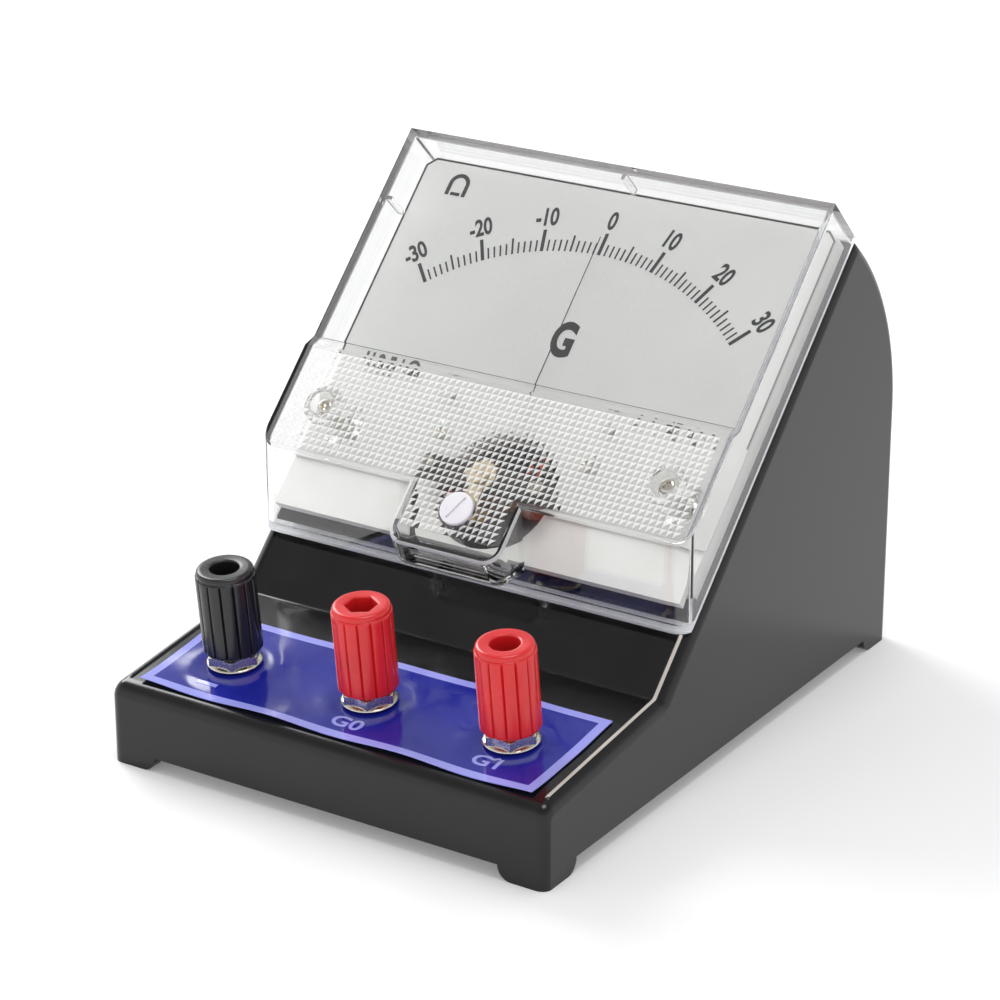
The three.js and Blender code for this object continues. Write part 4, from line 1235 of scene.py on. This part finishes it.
finished(placed(dial_marks(), METER), "case", INK, "dial")
for word in ("left", "right"):
    node = f"dial_screw_{word}"
    finished(screw_at(node, 1.5, 0.7, 0.8, METER, turn=0.3), "case", NICKEL, "nickel", node)

# ---- Movement ----

POINTER_LOW, POINTER_HIGH = box_in("pointer", METER)


def pointer_needle():
    """A thin tapered blade, its cross arms and its hub."""
    middle = (POINTER_LOW.z + POINTER_HIGH.z) / 2
    tip = POINTER_HIGH.y - PIVOT_Y
    tail = POINTER_LOW.y - PIVOT_Y
    half = 0.1
    blade = [(-0.3, 1), (0.3, 1), (0.1, 16), (0.06, tip), (-0.06, tip), (-0.1, 16)]
    needle = prism("pointer_needle", blade, middle - half, middle + half)
    hub_profile = [(1.35, -0.48), (1.6, -0.3), (1.6, 0.3), (1.35, 0.48)]
    hub = moved(capped_lathe("hub", hub_profile, 48), 0, 0, middle)
    reach = POINTER_HIGH.x
    arms = block("arms", (-reach, -0.25, middle - half), (reach, 0.25, middle + half))
    stem = block("stem", (-0.25, tail, middle - half), (0.25, -1, middle + half))
    joined(needle, hub, arms, stem)
    return bevelled(cut(needle, rod("bore", 0, 0, 0.8, 5, 9, 32)), 0.04, 2, 40)


pivot_place = METER @ Matrix.Translation((0, PIVOT_Y, 0))
finished(placed(pointer_needle(), pivot_place), "pointer", POINTER_BLACK, "aluminium", "pointer")


SPRING_INNER = 1.3
SPRING_OUTER = 4.9
SPRING_STRIP = 0.16
SPRING_TURNS = 3.5
SPRING_STEPS = 48


def hairspring(name, node, turn):
    """A flat spiral strip lying round the pivot's axis."""
    low, high = box_in(node, METER)
    count = int(SPRING_TURNS * SPRING_STEPS)
    edges = []
    for offset in (0, SPRING_STRIP):
        row = []
        for i in range(count + 1):
            radius = SPRING_INNER + offset + (SPRING_OUTER - SPRING_INNER) * i / count
            angle = 2 * math.pi * i / SPRING_STEPS + math.pi / 2 + turn
            row.append((radius * math.cos(angle), radius * math.sin(angle)))
        edges.append(row)
    outline = edges[0] + edges[1][::-1]
    return prism(name, outline, low.z, high.z)


for node, body, turn in (("upper_hairspring", "zero_lever", 0), ("lower_hairspring", "case", math.pi)):
    finished(placed(hairspring(f"{node}_strip", node, turn), pivot_place), body, COPPER, "copper", node)


def wire(name, path, radius, surface, slot):
    """A bent wire along a smooth path."""
    curve = bpy.data.curves.new(name, "CURVE")
    curve.dimensions = "3D"
    curve.bevel_depth = radius
    curve.bevel_resolution = 3
    curve.use_fill_caps = True
    spline = curve.splines.new("NURBS")
    spline.points.add(len(path) - 1)
    for point, place in zip(spline.points, path):
        point.co = (*place, 1)
    spline.order_u = 4
    spline.use_endpoint_u = True
    drawn = linked(name, curve)
    mesh = shaped_mesh(drawn)
    bpy.data.objects.remove(drawn)
    return finished(placed(linked(name, mesh), METER), "case", surface, slot)


RED_PATH = [(-5.8, 19.8, 0.5), (-7.2, 17.8, 2.2), (-9.4, 14.6, 2.8), (-11, 10.8, 2.4), (-11.2, 7.8, 0.5)]
ORANGE_PATH = [(3.6, 24.4, 0.5), (4.2, 22.8, 2.2), (5.0, 20.4, 2.6), (5.6, 18.2, 0.5)]
wire("tail_wire_red", RED_PATH, 0.55, TAIL_RED, "red_plastic")
wire("tail_wire_orange", ORANGE_PATH, 0.5, LEAD_ORANGE, "red_plastic")

CARRIED = {
    BLACK: ("base_plate",),
    WHITE: ("meter_base",),
    NICKEL: ("stop_pin_left", "stop_pin_right", "bridge_screw_left", "bridge_screw_right"),
    BLACK_NICKEL: ("upper_bridge",),
    PALE_BRASS: ("upper_jewel_screw", "zero_lever"),
    STEEL: ("pole_piece_left", "pole_piece_right", "iron_core", "frame_screw_left", "frame_screw_right"),
    BRASS: ("lower_bridge", "lower_jewel_screw"),
    ALUMINIUM: ("movement_frame",),
    CAST: ("magnet",),
    WINDING: ("moving_coil",),
    LEAD_BLACK: ("lead_black",),
    LEAD_RED: ("lead_red",),
    CERAMIC: ("series_resistor",),
}
for name in POSTS:
    CARRIED[NICKEL] += (f"post_{name}_stud", f"post_{name}_lower_nut")
    CARRIED[BRASS] += (f"post_{name}_insert",)
CARRIED[BRASS] += ("balance_weight_tail", "balance_weight_left", "balance_weight_right")
CARRIED[STEEL] += ("upper_pivot", "lower_pivot")

for surface, nodes in CARRIED.items():
    for node in nodes:
        piece = frame["nodes"][node]
        for material_slot in piece.material_slots:
            material_slot.material = surface

# ---- Stage: floor, light and camera ----

floor = mesh_object("floor", [(-3, -3, 0), (3, -3, 0), (3, 3, 0), (-3, 3, 0)], [(0, 1, 2, 3)])
floor_surface = Surface("floor", (0.9, 0.9, 0.9, 1), 0.7)
floor_surface.mottle(floor_surface.noise(300, 2), (0.86, 0.86, 0.86, 1), 0.3)
floor_surface.set("Emission Color", (1, 1, 1, 1))
floor_surface.set("Emission Strength", 0.16)
floor.data.materials.append(floor_surface.material)


def sky():
    """A studio tent: bright round the sides, dimmer overhead."""
    world = bpy.data.worlds.new("studio")
    bpy.context.scene.world = world
    world.use_nodes = True
    nodes, links = world.node_tree.nodes, world.node_tree.links
    direction = nodes.new("ShaderNodeTexCoord").outputs["Generated"]
    parts = nodes.new("ShaderNodeSeparateXYZ")
    links.new(direction, parts.inputs["Vector"])
    ramp = nodes.new("ShaderNodeValToRGB")
    links.new(parts.outputs["Z"], ramp.inputs["Fac"])
    bright, dim = ramp.color_ramp.elements
    bright.position, bright.color = 0.3, (1.08, 1.08, 1.09, 1)
    dim.position, dim.color = 0.75, (0.42, 0.42, 0.43, 1)
    links.new(ramp.outputs["Color"], nodes["Background"].inputs["Color"])


def lamp(name, place, aim, size, watts):
    light = bpy.data.lights.new(name, "AREA")
    light.shape = "DISK"
    light.size = size
    light.energy = watts
    piece = linked(name, light)
    piece.location = place
    piece.rotation_euler = (Vector(aim) - Vector(place)).to_track_quat("-Z", "Y").to_euler()


def camera():
    """The photograph's viewpoint: angles in degrees, lens and sensor in millimetres."""
    azimuth, elevation, roll = (math.radians(a) for a in (33.142, 21.999, -0.112))
    level = math.cos(elevation)
    back = Vector((math.sin(azimuth) * level, -math.cos(azimuth) * level, math.sin(elevation)))
    right = Vector((math.cos(azimuth), math.sin(azimuth), 0))
    up = back.cross(right)
    rolled_right = right * math.cos(roll) + up * math.sin(roll)
    rolled_up = up * math.cos(roll) - right * math.sin(roll)
    turn = Matrix((rolled_right, rolled_up, back)).transposed().to_4x4()
    data = bpy.data.cameras.new("camera")
    data.sensor_width = 36
    data.lens = 121.316
    piece = linked("camera", data)
    piece.matrix_world = Matrix.Translation((0.33635, -0.52041, 0.29324)) @ turn
    bpy.context.scene.camera = piece


sky()
lamp("side", (-0.71, 0.285, 0.59), (0, 0, 0.04), 0.48, 4.5)
lamp("overhead", (0.1, -0.05, 1.05), (0, 0, 0), 0.5, 3.2)
camera()
bpy.context.scene.view_settings.view_transform = "Standard"
